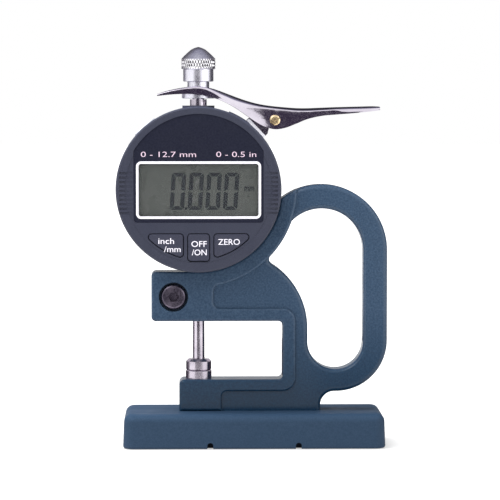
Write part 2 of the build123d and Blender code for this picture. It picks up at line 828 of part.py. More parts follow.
# Case body: ring wall with bosses for the stem, the bush and the screws, a seat
# for the lever's bracket and a window for the data socket.
seat_distance = case_radius + seat_height
bracket_screw_places = [
    (bracket_screw_along, bracket_screw_y),
    (bracket_screw_along, -bracket_screw_y),
]
port_inner = case_radius - port_root
with BuildPart() as case_body:
    with BuildSketch(dial(case_back)):
        Circle(case_radius)
        Circle(case_inner, mode=Mode.SUBTRACT)
    extrude(amount=case_back - bezel_back)
    with BuildSketch(level(stem_boss_top, axis_x)):
        Circle(stem_boss_d / 2)
    extrude(amount=-(stem_boss_height + case_wall / 2))
    with BuildSketch(level(bush_boss_bottom, axis_x)):
        Circle(bush_boss_d / 2)
    extrude(amount=bush_boss_top - bush_boss_bottom)
    with BuildSketch(dial(case_back)):
        with PolarLocations(boss_radius, 4, start_angle=45):
            Circle(boss_d / 2)
    extrude(amount=case_back - board_back)
    with BuildSketch(dial(seat_depth / 2)):
        with BuildLine():
            sweep_angle = seat_end_angle - seat_start_angle
            outer = CenterArc(
                (0, 0), case_radius + seat_band_height, seat_start_angle, sweep_angle
            )
            inner = CenterArc(
                (0, 0), case_radius - seat_band_root, seat_start_angle, sweep_angle
            )
            Line(outer @ 0, inner @ 0)
            Line(outer @ 1, inner @ 1)
        make_face()
    extrude(amount=seat_depth)
    with BuildSketch(radial(seat_angle, seat_distance)):
        Rectangle(seat_cut_length, seat_depth + 2)
    extrude(amount=seat_cut_height, mode=Mode.SUBTRACT)
    with BuildSketch(radial(seat_angle, seat_distance)):
        with Locations(*bracket_screw_places):
            Circle(small_screw_d / 2)
    extrude(amount=-(seat_height + case_wall + seat_hole_run), mode=Mode.SUBTRACT)
    with BuildSketch(level(dial_z - case_radius - 1, axis_x)):
        Circle(stem_d / 2)
    extrude(amount=stem_boss_top - dial_z + case_radius + 1, mode=Mode.SUBTRACT)
    with BuildSketch(level(bush_boss_bottom, axis_x)):
        Circle(bush_d / 2)
    extrude(amount=bush_boss_top - bush_boss_bottom, mode=Mode.SUBTRACT)
    with BuildSketch(dial(case_back)):
        with PolarLocations(boss_radius, 4, start_angle=45):
            Circle(small_screw_d / 2)
    extrude(amount=case_back - board_back, mode=Mode.SUBTRACT)
    with BuildSketch(radial(port_angle, port_inner - port_catch)):
        Rectangle(port_width + 2 * port_gap, port_depth + 2 * port_gap)
    extrude(amount=port_cut, mode=Mode.SUBTRACT)
save(case_body, "case_body")

# Snap-in cover of the data socket, with a rounded outer face.
with BuildPart() as port_cover:
    with BuildSketch(radial(port_angle, port_inner)):
        Rectangle(port_width, port_depth)
    extrude(amount=port_root + port_height)
    port_axis = Axis((axis_x, 0, dial_z), radial(port_angle, 1).z_dir)
    fillet(port_cover.faces().sort_by(port_axis)[-1].edges(), port_edge)
save(port_cover, "port_cover")

# Back cover with the opening of the battery cover, and its screws.
with BuildPart() as back_cover:
    with BuildSketch(dial(case_back)):
        Circle(case_radius)
        with Locations((battery_offset, 0)):
            Circle(battery_cover_d / 2 + panel_gap, mode=Mode.SUBTRACT)
        with PolarLocations(boss_radius, 4, start_angle=45):
            Circle(small_screw_d / 2, mode=Mode.SUBTRACT)
    extrude(amount=-cover_thickness)
    rim_edge = back_cover.faces().sort_by(Axis.Y)[-1].outer_wire().edges()
    fillet(rim_edge, cover_edge)
    with BuildSketch(dial(case_back + cover_thickness)):
        with PolarLocations(boss_radius, 4, start_angle=45):
            Circle(small_head_d / 2)
    extrude(amount=small_head_h, mode=Mode.SUBTRACT)
save(back_cover, "back_cover")


def case_screws(name, head_side, seat, slot_turn):
    """Four slotted screws in the case's bosses; head_side is +1 for the back."""
    with BuildPart() as screws:
        with BuildSketch(dial(seat)):
            with PolarLocations(boss_radius, 4, start_angle=45):
                Circle(small_head_d / 2)
        extrude(amount=-head_side * small_head_h)
        with BuildSketch(dial(seat)):
            with PolarLocations(boss_radius, 4, start_angle=45):
                Circle(small_screw_d / 2)
        extrude(amount=head_side * small_screw_length)
        with BuildSketch(dial(seat + head_side * small_head_h)):
            with PolarLocations(boss_radius, 4, start_angle=45):
                Rectangle(small_head_d + slot_overrun, small_slot, rotation=slot_turn)
        extrude(amount=head_side * small_head_h / 2, mode=Mode.SUBTRACT)
    save(screws, name)


cover_seat = case_back + cover_thickness - small_head_h
case_screws("cover_screws", 1, cover_seat, cover_slot_turn)
case_screws("board_screws", -1, board_front, board_slot_turn)

# Battery cover with a coin slot, the battery and its holder.
with BuildPart() as battery_cover:
    with BuildSketch(dial(case_back)):
        with Locations((battery_offset, 0)):
            Circle(battery_cover_d / 2)
    extrude(amount=-cover_thickness)
    with BuildSketch(dial(case_back + cover_thickness)):
        with Locations((battery_offset, 0)):
            SlotOverall(coin_slot_length, coin_slot_width)
    extrude(amount=coin_slot_depth, mode=Mode.SUBTRACT)
save(battery_cover, "battery_cover")

with BuildPart() as battery:
    with BuildSketch(dial(battery_front)):
        with Locations((battery_offset, 0)):
            Circle(battery_d / 2)
    extrude(amount=-battery_height)
    fillet(battery.edges(), battery_edge)
save(battery, "battery")

holder_r = battery_d / 2 + battery_gap
with BuildPart() as battery_holder:
    with BuildSketch(dial(battery_front - holder_floor)):
        with Locations((battery_offset, 0)):
            Circle(holder_r + holder_wall)
    extrude(amount=-(case_back - battery_front + holder_floor))
    with BuildSketch(dial(battery_front)):
        with Locations((battery_offset, 0)):
            Circle(holder_r)
    extrude(amount=-(case_back - battery_front), mode=Mode.SUBTRACT)
save(battery_holder, "battery_holder")

# Outlines of the front: display panel, window and keys.
with BuildSketch() as panel_shape:
    Circle(panel_top_radius)
    with Locations((0, panel_bottom)):
        Rectangle(
            2 * panel_half_width,
            2 * panel_top_radius,
            align=(Align.CENTER, Align.MIN),
            mode=Mode.INTERSECT,
        )
    fillet(panel_shape.vertices(), panel_corner)

with BuildSketch() as window_shape:
    with Locations((0, (window_top + window_bottom) / 2)):
        RectangleRounded(2 * window_half_width, window_top - window_bottom, window_corner)

with BuildSketch() as side_key_shape:
    Circle(key_arc_radius)
    with Locations((key_inner, key_top)):
        Rectangle(
            key_arc_radius,
            key_arc_radius,
            align=(Align.MIN, Align.MAX),
            mode=Mode.INTERSECT,
        )
    fillet(side_key_shape.vertices(), key_corner)

with BuildSketch() as middle_key_shape:
    with Locations((0, (key_top + key_bottom) / 2)):
        RectangleRounded(2 * mid_key_half_width, key_top - key_bottom, key_corner)

# Front ring: face with the stepped rim, pocket for the panel, key openings and
# grip ribs at both sides.
with BuildPart() as bezel:
    with BuildSketch(dial(bezel_back)):
        Circle(bezel_radius)
    extrude(amount=bezel_back - bezel_front)
    fillet(bezel.faces().sort_by(Axis.Y)[0].edges(), bezel_edge)
    with BuildSketch(dial(bezel_front)):
        Circle(bezel_radius - face_step_inset)
    extrude(amount=-face_step, mode=Mode.SUBTRACT)
    with BuildSketch(dial(bezel_front)):
        add(panel_shape.sketch_local)
        offset(amount=panel_gap)
    extrude(amount=bezel_front - pocket_floor, mode=Mode.SUBTRACT)
    with BuildSketch(dial(ledge_back)):
        Circle(bezel_radius - bezel_wall)
    extrude(amount=ledge_back - bezel_back, mode=Mode.SUBTRACT)
    with BuildSketch(dial(bezel_front)):
        with Locations((0, lcd_center)):
            Rectangle(2 * (lcd_half_width + lcd_gap), 2 * (lcd_half_height + lcd_gap))
    extrude(amount=bezel_front - ledge_back, mode=Mode.SUBTRACT)
    for shape in (side_key_shape, middle_key_shape):
        with BuildSketch(dial(bezel_front)):
            add(shape.sketch_local)
            offset(amount=key_gap)
        extrude(amount=bezel_front - ledge_back, mode=Mode.SUBTRACT)
    with BuildSketch(dial(bezel_front)):
        add(side_key_shape.sketch_local)
        offset(amount=key_gap)
        mirror(about=Plane.YZ, mode=Mode.REPLACE)
    extrude(amount=bezel_front - ledge_back, mode=Mode.SUBTRACT)
    for side in (-1, 1):
        with BuildSketch(dial(bezel_front)):
            for i in range(rib_count):
                with Locations((side * (rib_outer - rib_length / 2), rib_top - i * rib_pitch)):
                    Rectangle(rib_length, rib_groove)
        extrude(amount=-rib_depth, mode=Mode.SUBTRACT)
save(bezel, "bezel")

# Glossy panel, the clear window in it, and the display behind.
with BuildPart() as display_panel:
    with BuildSketch(dial(pocket_floor)):
        add(panel_shape.sketch_local)
        add(window_shape.sketch_local, mode=Mode.SUBTRACT)
    extrude(amount=pocket_floor - panel_front)
save(display_panel, "display_panel")

with BuildPart() as display_window:
    with BuildSketch(dial(pocket_floor)):
        add(window_shape.sketch_local)
    extrude(amount=pocket_floor - panel_front)
save(display_window, "display_window")

with BuildPart() as display:
    with BuildSketch(dial(lcd_back)):
        with Locations((0, lcd_center)):
            Rectangle(2 * lcd_half_width, 2 * lcd_half_height)
    extrude(amount=lcd_back - lcd_front)
save(display, "display")

with BuildPart() as contact_strips:
    with BuildSketch(dial(board_front)):
        for side in (-1, 1):
            with Locations((0, lcd_center + side * (lcd_half_height - strip_height / 2))):
                Rectangle(2 * (lcd_half_width - strip_inset), strip_height)
    extrude(amount=board_front - lcd_back)
save(contact_strips, "contact_strips")

with BuildPart() as circuit_board:
    with BuildSketch(dial(board_back)):
        Circle(case_inner - board_gap)
        with PolarLocations(boss_radius, 4, start_angle=45):
            Circle(small_screw_d / 2, mode=Mode.SUBTRACT)
    extrude(amount=board_back - board_front)
save(circuit_board, "circuit_board")

# Rubber pad with a dome under each key.
key_places = ((-side_key_x, key_stem_z), (0, key_stem_z), (side_key_x, key_stem_z))
with BuildPart() as key_pad:
    with BuildSketch(dial(board_front)):
        with Locations((0, key_stem_z)):
            SlotCenterToCenter(2 * side_key_x, dome_d + 2 * pad_margin)
    extrude(amount=pad_thickness)
    dome_base = dial(board_front - pad_thickness)
    with Locations(*[dome_base * Location((x, z, 0)) for x, z in key_places]):
        Cone(
            dome_d / 2,
            dome_top_d / 2,
            dome_height,
            align=(Align.CENTER, Align.CENTER, Align.MIN),
        )
save(key_pad, "key_pad")

key_stem_end = board_front - pad_thickness - dome_height - key_travel - key_stem_gap


def make_key(name, shape, place, mirrored):
    """A key: cap in its opening, flange behind the face and a stem to its dome."""
    with BuildPart() as key:
        with BuildSketch(dial(ledge_back)):
            add(shape.sketch_local)
            if mirrored:
                mirror(about=Plane.YZ, mode=Mode.REPLACE)
        extrude(amount=ledge_back - key_front)
        chamfer(key.faces().sort_by(Axis.Y)[0].edges(), key_edge)
        with BuildSketch(dial(ledge_back)):
            add(shape.sketch_local)
            offset(amount=key_flange_reach)
            if mirrored:
                mirror(about=Plane.YZ, mode=Mode.REPLACE)
        extrude(amount=-key_flange)
        with BuildSketch(dial(ledge_back + key_flange)):
            with Locations(place):
                Circle(key_stem_d / 2)
        extrude(amount=ledge_back + key_flange - key_stem_end)
    save(key, name)


make_key("key_left", side_key_shape, key_places[0], True)
make_key("key_middle", middle_key_shape, key_places[1], False)
make_key("key_right", side_key_shape, key_places[2], False)

# Carrier on the spindle, with the scale strip in front and the guide pin behind.
with BuildPart() as carrier:
    with BuildSketch(level(carrier_bottom, axis_x)):
        Rectangle(carrier_width, 2 * carrier_half_depth)
        Circle(spindle_d / 2, mode=Mode.SUBTRACT)
    extrude(amount=carrier_height)
save(carrier, "carrier")

with BuildPart() as scale_strip:
    with BuildSketch(front(-carrier_half_depth)):
        with Locations((axis_x, scale_bottom)):
            Rectangle(scale_width, scale_length, align=(Align.CENTER, Align.MIN))
    extrude(amount=scale_thickness)
save(scale_strip, "scale_strip")

with BuildPart() as guide_pin:
    with BuildSketch(front(carrier_half_depth)):
        with Locations((axis_x, carrier_middle)):
            Circle(guide_pin_d / 2)
    extrude(amount=-guide_pin_length)
save(guide_pin, "guide_pin")

# Reader head on the back of the board, facing the scale strip.
reader_face = -carrier_half_depth - scale_thickness - reader_gap
with BuildPart() as reader_head:
    with BuildSketch(dial(board_back)):
        Rectangle(reader_width, reader_height)
    extrude(amount=board_back - reader_face)
save(reader_head, "reader_head")

# Guide block on the back cover: its slot keeps the spindle from turning.
slot_end = guide_pin_d / 2 + guide_gap
with BuildPart() as guide_block:
    with BuildSketch(front(case_back)):
        with Locations((axis_x, (guide_bottom + guide_top) / 2)):
            Rectangle(2 * guide_half_width, guide_top - guide_bottom)
        with Locations((axis_x, carrier_middle + spindle_travel / 2)):
            SlotCenterToCenter(
                spindle_travel + 2 * slot_end, 2 * slot_end, rotation=90, mode=Mode.SUBTRACT
            )
    extrude(amount=guide_thickness)
save(guide_block, "guide_block")

# Return spring between the carrier and the top bush.
spring_bottom = carrier_top + spring_wire / 2
spring_top = bush_boss_bottom - collar_height - spring_wire / 2
spring_height = spring_top - spring_bottom
spring_radius = spindle_d / 2 + spring_gap + spring_wire / 2
with BuildPart() as return_spring:
    with BuildLine():
        coil = Helix(
            spring_height / spring_turns,
            spring_height,
            spring_radius,
            center=(axis_x, 0, spring_bottom),
        )
    with BuildSketch(Plane(origin=coil @ 0, z_dir=coil % 0)):
        Circle(spring_wire / 2)
    sweep()
save(return_spring, "return_spring")


def moved(points, x, z):
    """The points, measured from (x, z)."""
    return [(x + dx, z + dz) for dx, dz in points]


# Lifting lever: pressed channel with a forked end round the knob's neck.
lever_top_points = moved(fork_top_points, axis_x, knob_groove_bottom)
lever_top_points += moved(arm_top_points, pivot_x, pivot_z)
lever_low_points = moved(arm_low_points, pivot_x, pivot_z)
lever_low_points += moved(fork_low_points, axis_x, knob_groove_bottom)
lever_end = moved([arm_end_point], pivot_x, pivot_z)[0]
fork_slot_length = fork_slot_reach + fork_slot_root
with BuildSketch(front(lever_half_width)) as lever_shape:
    with BuildLine():
        back = Spline(*lever_top_points, tangents=((1, fork_slope), (1, arm_slope)))
        Line(back @ 1, lever_end)
        under = Spline(*lever_low_points)
        Line(lever_end, under @ 0)
        Line(under @ 1, back @ 0)
    make_face()

with BuildPart() as lever:
    with BuildSketch(front(lever_half_width)):
        add(lever_shape.sketch_local)
    extrude(amount=2 * lever_half_width)
    bends = [
        edges_at(lever.part, side).sort_by(SortBy.LENGTH)[-2:].sort_by(Axis.Z)[-1]
        for side in (-lever_half_width, lever_half_width)
    ]
    fillet(bends, lever_bend)
    with BuildSketch(front(lever_half_width - lever_sheet)):
        with Locations((0, -lever_sheet)):
            add(lever_shape.sketch_local)
    extrude(amount=2 * (lever_half_width - lever_sheet), mode=Mode.SUBTRACT)
    with BuildSketch(level(arm_top)):
        with Locations((axis_x + (fork_slot_root - fork_slot_reach) / 2, 0)):
            SlotOverall(fork_slot_length, 2 * (knob_neck_r + fork_gap))
    extrude(amount=knob_tip - arm_top, mode=Mode.SUBTRACT)
    with BuildSketch(front(lever_half_width)):
        with Locations((pivot_x, pivot_z)):
            Circle(pivot_d / 2 + pivot_gap)
    extrude(amount=2 * lever_half_width, mode=Mode.SUBTRACT)
save(lever, "lever")

# Bright plate between the case's seat and the bracket.
bracket_half_width = lever_half_width - lever_sheet - bracket_gap
with BuildPart() as seat_plate:
    with BuildSketch(radial(seat_angle, seat_distance)):
        with Locations(((bracket_seat_low + bracket_seat_high) / 2, 0)):
            Rectangle(bracket_seat_high - bracket_seat_low, 2 * bracket_half_width)
        with Locations(*bracket_screw_places):
            Circle(small_screw_d / 2, mode=Mode.SUBTRACT)
    extrude(amount=seat_plate_thickness)
save(seat_plate, "seat_plate")

# Bracket: plate screwed to the case's seat, with two ears that hold the pivot.
bracket_foot = seat_distance + seat_plate_thickness
bracket_head = bracket_foot + bracket_seat
plate_low = radial(seat_angle, bracket_foot, bracket_seat_low).origin
plate_high = radial(seat_angle, bracket_foot, bracket_seat_high).origin
plate_tip = radial(seat_angle, bracket_head, bracket_seat_low).origin
with BuildPart() as bracket:
    for start in (bracket_half_width, bracket_sheet - bracket_half_width):
        with BuildSketch(front(start)):
            with BuildLine():
                Polyline(
                    (plate_low.X, plate_low.Z),
                    (plate_tip.X, plate_tip.Z),
                    (plate_tip.X + bracket_toe, pivot_z - bracket_boss_r),
                    (pivot_x, pivot_z - bracket_boss_r),
                    (pivot_x, pivot_z + bracket_boss_r),
                    (plate_high.X + bracket_shoulder, pivot_z + bracket_boss_r),
                    (plate_high.X, plate_high.Z),
                    close=True,
                )
            make_face()
            with Locations((pivot_x, pivot_z)):
                Circle(bracket_boss_r)
        extrude(amount=bracket_sheet)
    with BuildSketch(radial(seat_angle, bracket_foot)):
        with Locations(((bracket_seat_low + bracket_seat_high) / 2, 0)):
            Rectangle(bracket_seat_high - bracket_seat_low, 2 * bracket_half_width)
    extrude(amount=bracket_seat)
    with BuildSketch(front(bracket_half_width)):
        with Locations((pivot_x, pivot_z)):
            Circle(pivot_d / 2)
    extrude(amount=2 * bracket_half_width, mode=Mode.SUBTRACT)
    with BuildSketch(radial(seat_angle, bracket_foot)):
        with Locations(*bracket_screw_places):
            Circle(small_screw_d / 2)
    extrude(amount=bracket_seat, mode=Mode.SUBTRACT)
save(bracket, "bracket")

with BuildPart() as bracket_screws:
    with BuildSketch(radial(seat_angle, bracket_head)):
        with Locations(*bracket_screw_places):
            Circle(small_head_d / 2)
    extrude(amount=small_head_h)
    with BuildSketch(radial(seat_angle, bracket_head)):
        with Locations(*bracket_screw_places):
            Circle(small_screw_d / 2)
    extrude(amount=-(bracket_seat + seat_plate_thickness + case_wall))
    with BuildSketch(radial(seat_angle, bracket_head + small_head_h)):
        with Locations(*bracket_screw_places):
            Rectangle(small_head_d + slot_overrun, small_slot, rotation=bracket_slot_turn)
    extrude(amount=-small_head_h / 2, mode=Mode.SUBTRACT)
save(bracket_screws, "bracket_screws")

# Brass pivot screw with a slotted domed head, and its nut behind.
pivot_seat = lever_half_width + side_gap
with BuildPart() as pivot_screw:
    with BuildSketch(front(-pivot_seat)):
        with Locations((pivot_x, pivot_z)):
            Circle(pivot_head_d / 2)
    extrude(amount=pivot_head_h)
    fillet(pivot_screw.faces().sort_by(Axis.Y)[0].edges(), pivot_head_dome)
    with BuildSketch(front(-pivot_seat)):
        with Locations((pivot_x, pivot_z)):
            Circle(pivot_d / 2)
    extrude(amount=-(2 * pivot_seat + nut_height + thread_end))
    with BuildSketch(front(-pivot_seat - pivot_head_h)):
        with Locations((pivot_x, pivot_z)):
            Rectangle(pivot_head_d + slot_overrun, pivot_slot, rotation=pivot_slot_turn)
    extrude(amount=-pivot_head_h / 2, mode=Mode.SUBTRACT)
save(pivot_screw, "pivot_screw")

with BuildPart() as pivot_nut:
    with BuildSketch(front(pivot_seat)):
        with Locations((pivot_x, pivot_z)):
            RegularPolygon(nut_flats / 2, 6, major_radius=False)
            Circle(pivot_d / 2, mode=Mode.SUBTRACT)
    extrude(amount=-nut_height)
save(pivot_nut, "pivot_nut")
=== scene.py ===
import json
import math

import bmesh
import bpy
from mathutils import Matrix, Vector


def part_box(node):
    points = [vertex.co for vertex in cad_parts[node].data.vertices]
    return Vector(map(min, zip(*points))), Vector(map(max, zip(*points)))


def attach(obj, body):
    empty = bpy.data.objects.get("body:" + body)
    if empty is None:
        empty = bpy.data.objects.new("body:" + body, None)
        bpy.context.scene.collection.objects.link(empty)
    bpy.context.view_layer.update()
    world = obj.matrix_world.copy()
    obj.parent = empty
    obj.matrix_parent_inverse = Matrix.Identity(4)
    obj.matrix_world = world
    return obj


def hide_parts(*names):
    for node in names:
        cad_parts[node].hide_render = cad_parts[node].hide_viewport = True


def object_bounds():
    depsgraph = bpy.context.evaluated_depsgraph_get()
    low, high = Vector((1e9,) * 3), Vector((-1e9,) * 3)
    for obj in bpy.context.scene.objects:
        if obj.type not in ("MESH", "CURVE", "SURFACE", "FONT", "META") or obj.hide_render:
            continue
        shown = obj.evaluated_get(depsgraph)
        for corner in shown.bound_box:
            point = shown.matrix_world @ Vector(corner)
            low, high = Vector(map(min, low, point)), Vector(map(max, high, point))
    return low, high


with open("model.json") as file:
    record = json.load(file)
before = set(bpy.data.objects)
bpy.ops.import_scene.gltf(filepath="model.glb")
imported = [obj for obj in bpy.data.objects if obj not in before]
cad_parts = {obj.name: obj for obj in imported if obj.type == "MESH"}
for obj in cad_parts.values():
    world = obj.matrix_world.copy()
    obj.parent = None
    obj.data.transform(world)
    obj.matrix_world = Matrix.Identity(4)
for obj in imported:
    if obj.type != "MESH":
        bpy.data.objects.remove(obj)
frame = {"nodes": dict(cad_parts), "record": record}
cad_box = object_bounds()

# A digital thickness gauge. Metres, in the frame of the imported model: +X to the
# right, -Y towards the viewer, +Z up, with the base standing on the plane Z = 0.
MM = 0.001
WHITE = (1.0, 1.0, 1.0, 1.0)

# Photograph: camera place, aim and lens for a square picture of 500 pixels. The lens
# and the sensor are in millimetres, as Blender has them.
CAMERA_PLACE = (-0.0225, -0.9, 0.12206)
CAMERA_TURN = math.radians(-1.354)
CAMERA_DROP = math.radians(3.381)
CAMERA_LENS = 182.8
CAMERA_CLIP = (0.01, 50.0)
SENSOR_WIDTH = 36.0


def corners(box):
    """Lowest and highest corner of a box, as vectors."""
    return [Vector(corner) for corner in box]


def middle(low, high):
    """X and Z halfway between two corners."""
    return (low.x + high.x) / 2, (low.z + high.z) / 2


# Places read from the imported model
bezel_low, bezel_high = corners(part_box("bezel"))
panel_front = corners(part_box("display_panel"))[0].y
window_low, window_high = corners(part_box("display_window"))
lcd_low, lcd_high = corners(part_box("display"))
knob_low, knob_high = corners(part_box("knob"))
screw_low, screw_high = corners(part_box("pivot_screw"))
dial_x, dial_z = middle(bezel_low, bezel_high)
window_x, window_z = middle(window_low, window_high)
lcd_x, lcd_z = middle(lcd_low, lcd_high)
pivot_x, pivot_z = middle(screw_low, screw_high)
axis_x = (knob_low.x + knob_high.x) / 2
knob_radius = (knob_high.x - knob_low.x) / 2

# Printing on the face. The weights thicken or thin letters that are one unit high
# before they are fitted, and the steps are those of a rounded corner and of a curve.
PRINT_THICKNESS = 0.02 * MM
LINE_WIDTH = 0.85 * MM
LINE_CORNER = 1.75 * MM
CORNER_STEPS = 8
TEXT_STEPS = 4
LETTER_WEIGHT = -0.006
KEY_WEIGHT = 0.004
RANGE_WORDS = "0 - 12.7 mm      0 - 0.5 in"
RANGE_RAISE = 12.35 * MM
RANGE_SIZE = (40.2 * MM, 1.85 * MM)

# Words on the keys, in millimetres: the words, their key, X and Z of their middle from
# the dial's centre, and their width
LABEL_HEIGHT = 2.05
KEY_LABELS = {
    "label_inch": ("inch", "key_left", -11.35, -17.9, 5.5),
    "label_mm": ("/mm", "key_left", -9.2, -20.75, 5.8),
    "label_off": ("OFF", "key_middle", 0.15, -18.95, 5.4),
    "label_on": ("/ON", "key_middle", 0.2, -21.9, 5.2),
    "label_zero": ("ZERO", "key_right", 10.6, -18.25, 7.6),
}

# Display digits: X of their left edges from the display's centre, and their sizes
DIGIT_LEFTS = (-10.15 * MM, -3.9 * MM, 2.3 * MM, 8.45 * MM)
DIGIT_WIDTH = 5.05 * MM
DIGIT_HEIGHT = 13.0 * MM
DIGIT_RAISE = -0.5 * MM
DIGIT_STROKE = 1.45 * MM
DIGIT_SLANT = math.tan(math.radians(3.6))
SEGMENT_GAP = 0.16 * MM
POINT_SIZE = 0.9 * MM
POINT_LEFT = -4.85 * MM
UNIT_WORDS = "mm"
UNIT_LEFT = 16.0 * MM
UNIT_RAISE = 0.35 * MM
UNIT_WIDTH = 3.5 * MM
UNIT_HEIGHT = 1.75 * MM
UNIT_WEIGHT = 0.035

# Knurl of the lifting knob: diamonds round the band and up it, their depth, the steps
# in each, and how far in the painted shade of its pits is full and how far in it is still
# unshaded
KNURL_COUNT = 38
KNURL_ROWS = 1.5
KNURL_DEPTH = 0.5 * MM
KNURL_STEPS = 6
KNURL_SHADED_DEPTH = 0.75 * KNURL_DEPTH
KNURL_UNSHADED_DEPTH = 0.3 * KNURL_DEPTH

# Knob: its parts measured down from its tip, its radii, the breaks of its edges, the
# steps of its cone and nose, and how far the nose bulges for its height
KNOB_CONE_TOP = 0.95 * MM
KNOB_CONE_END = 4.05 * MM
KNOB_BAND_END = 7.9 * MM
KNOB_NECK_TOP = 12.25 * MM
KNOB_FLANGE_TOP = 16.45 * MM
KNOB_SHOULDER = 2.5 * MM
KNOB_BODY = 5.35 * MM
KNOB_NECK = 3.85 * MM
KNOB_FLANGE = 5.85 * MM
KNOB_EDGE = 0.12 * MM
BAND_EDGE = 2 * KNOB_EDGE
BAND_INSET = 2.5 * KNOB_EDGE
CONE_STEPS = 10
NOSE_STEPS = 6
NOSE_BULGE = 0.12

# Lever in millimetres, from the tip of its fork: X, top, lower edge, depth and width
# of its rounded shoulder, how far its side flares at the lower edge, and how far its
# top falls from the middle to the shoulder
LEVER_STATIONS = (
    (-34.0, 124.1, 123.5, 0.25, 0.4, 0.0, 0.0),
    (-32.0, 124.84, 123.73, 0.4, 0.6, 0.0, 0.0),
    (-29.0, 125.66, 124.01, 0.5, 0.8, 0.0, 0.0),
    (-26.0, 126.24, 124.17, 0.55, 0.9, 0.0, 0.0),
    (-23.0, 126.65, 124.19, 0.6, 0.9, 0.0, 0.0),
    (-20.0, 126.86, 124.01, 0.7, 0.9, 0.0, 0.0),
    (-17.0, 126.65, 123.56, 0.9, 1.0, 0.0, 0.02),
    (-14.0, 125.94, 122.79, 1.4, 1.4, 0.0, 0.2),
    (-11.0, 124.9, 121.67, 2.1, 1.9, 0.1, 0.42),
    (-8.0, 123.76, 120.18, 2.5, 2.1, 0.2, 0.52),
    (-5.0, 122.64, 118.3, 2.7, 2.1, 0.35, 0.55),
    (-2.0, 121.64, 116.22, 2.0, 1.7, 0.5, 0.55),
    (1.0, 120.84, 114.22, 1.2, 1.3, 0.5, 0.55),
    (4.0, 120.26, 112.65, 0.8, 1.0, 0.35, 0.55),
    (7.4, 119.81, 111.8, 0.6, 0.9, 0.1, 0.55),
    (11.0, 119.48, 112.28, 0.5, 0.9, 0.0, 0.6),
    (15.0, 119.19, 113.8, 0.5, 0.9, 0.0, 0.65),
    (19.0, 119.15, 115.4, 0.5, 0.9, 0.0, 0.65),
    (24.0, 119.34, 116.49, 0.5, 0.9, 0.0, 0.6),
    (29.0, 119.53, 116.95, 0.6, 0.9, 0.0, 0.5),
    (31.5, 119.59, 117.14, 1.3, 1.2, 0.0, 0.42),
    (36.0, 119.71, 117.51, 1.4, 1.3, 0.0, 0.4),
    (42.0, 119.85, 118.16, 1.3, 1.2, 0.1, 0.35),
    (44.4, 119.75, 118.5, 0.8, 0.9, 0.0, 0.2),
)
LEVER_HALF = 7.0
LEVER_SHEET = 0.7
FORK_LEFT = -32.6
FORK_RIGHT = -14.2
FORK_HALF = 4.25
PIVOT_HOLE = 1.25

# Most that the shoulder and the sheet take of the lever's side, the power by which the
# side flares, the number of steps along each stretch and of sides of the drill, and
# the distance at which the two halves weld
SHOULDER_SHARE = 0.8
SHEET_SHARE = 0.6
FLARE_POWER = 1.6
LEVER_STEPS = 150
FORK_STEPS = 12
CROWN_STEPS = 8
SHOULDER_STEPS = 10
SIDE_STEPS = 5
DRILL_SIDES = 32
WELD_DISTANCE = 0.002 * MM

# Edges that turn more than this, in degrees, stay sharp
KNOB_CREASE = 32
LEVER_CREASE = 40

# Noise textures: detail and roughness of each kind, the part of their range that a
# tone or a roughness is spread over, and their scales to the metre
SOFT_NOISE = (2.0, 0.55)
STAIN_NOISE = (3.0, 0.55)
SKIN_NOISE = (3.0, 0.6)
PAINT_NOISE = (4.0, 0.65)
NOISE_RANGE = (0.3, 0.7)
SKIN_RANGE = (0.35, 0.65)
PAINT_RANGE = (0.36, 0.66)
PAINT_PATCHES = 90.0
PLASTIC_PATCHES = 120.0
METAL_STAINS = 160.0
WINDOW_HAZE = 300.0
KNURL_WEAR = 900.0
INK_SPECKS = 1800.0
TOOL_MARKS = 2500.0

# Paint: dimples to a cell of its tone, how far the roughness strays, and the heights
# between which its painted shade, darker towards the foot, passes from the foot's tint to
# none
DIMPLES = 0.8
PAINT_STRAY = (-0.06, 0.08)
PAINT_SPECULAR = 0.15
PAINT_COAT_ROUGHNESS = 0.16
# Painted shade: the paint is darkened towards the bottom, where less light falls
PAINTED_SHADE_HEIGHTS = (18.0 * MM, 48.0 * MM)
FOOT_SHADE_TINT = (0.1, 0.38, 0.5, 1.0)

# Other finishes: how far a roughness strays, by a sum for plastic and by a factor for
# metal, the usual depth of tool marks in millimetres, and what the knurl, the window
# and the inks have
PLASTIC_STRAY = (-0.05, 0.05)
PLASTIC_SPECULAR = 0.4
METAL_STRAY = (0.7, 1.3)
MARK_DEPTH = 0.002
# Knurl tones: the painted shade of its pits and the bright chrome of its points
KNURL_PIT_SHADE_TONES = ((34, 32, 40), (252, 251, 255))
KNURL_ROUGHNESS = (0.22, 0.34)
WINDOW_TONE = (60, 66, 66)
WINDOW_COVER = 0.12
WINDOW_ROUGHNESS = (0.04, 0.09)
INK_ROUGHNESS = 0.5

# Finishes by name, each with its darker and its lighter tone as eight-bit colours of a
# screen. Paints: cell and depth of the skin in millimetres, roughness, coat, tint of the
# painted shade at the foot
PAINTS = {
    "frame_paint": ((37, 57, 79), (55, 75, 97), 0.62, 0.05, 0.45, 0.4, FOOT_SHADE_TINT),
    "base_paint": ((34, 53, 73), (43, 61, 82), 0.5, 0.012, 0.55, 0.0, WHITE),
}
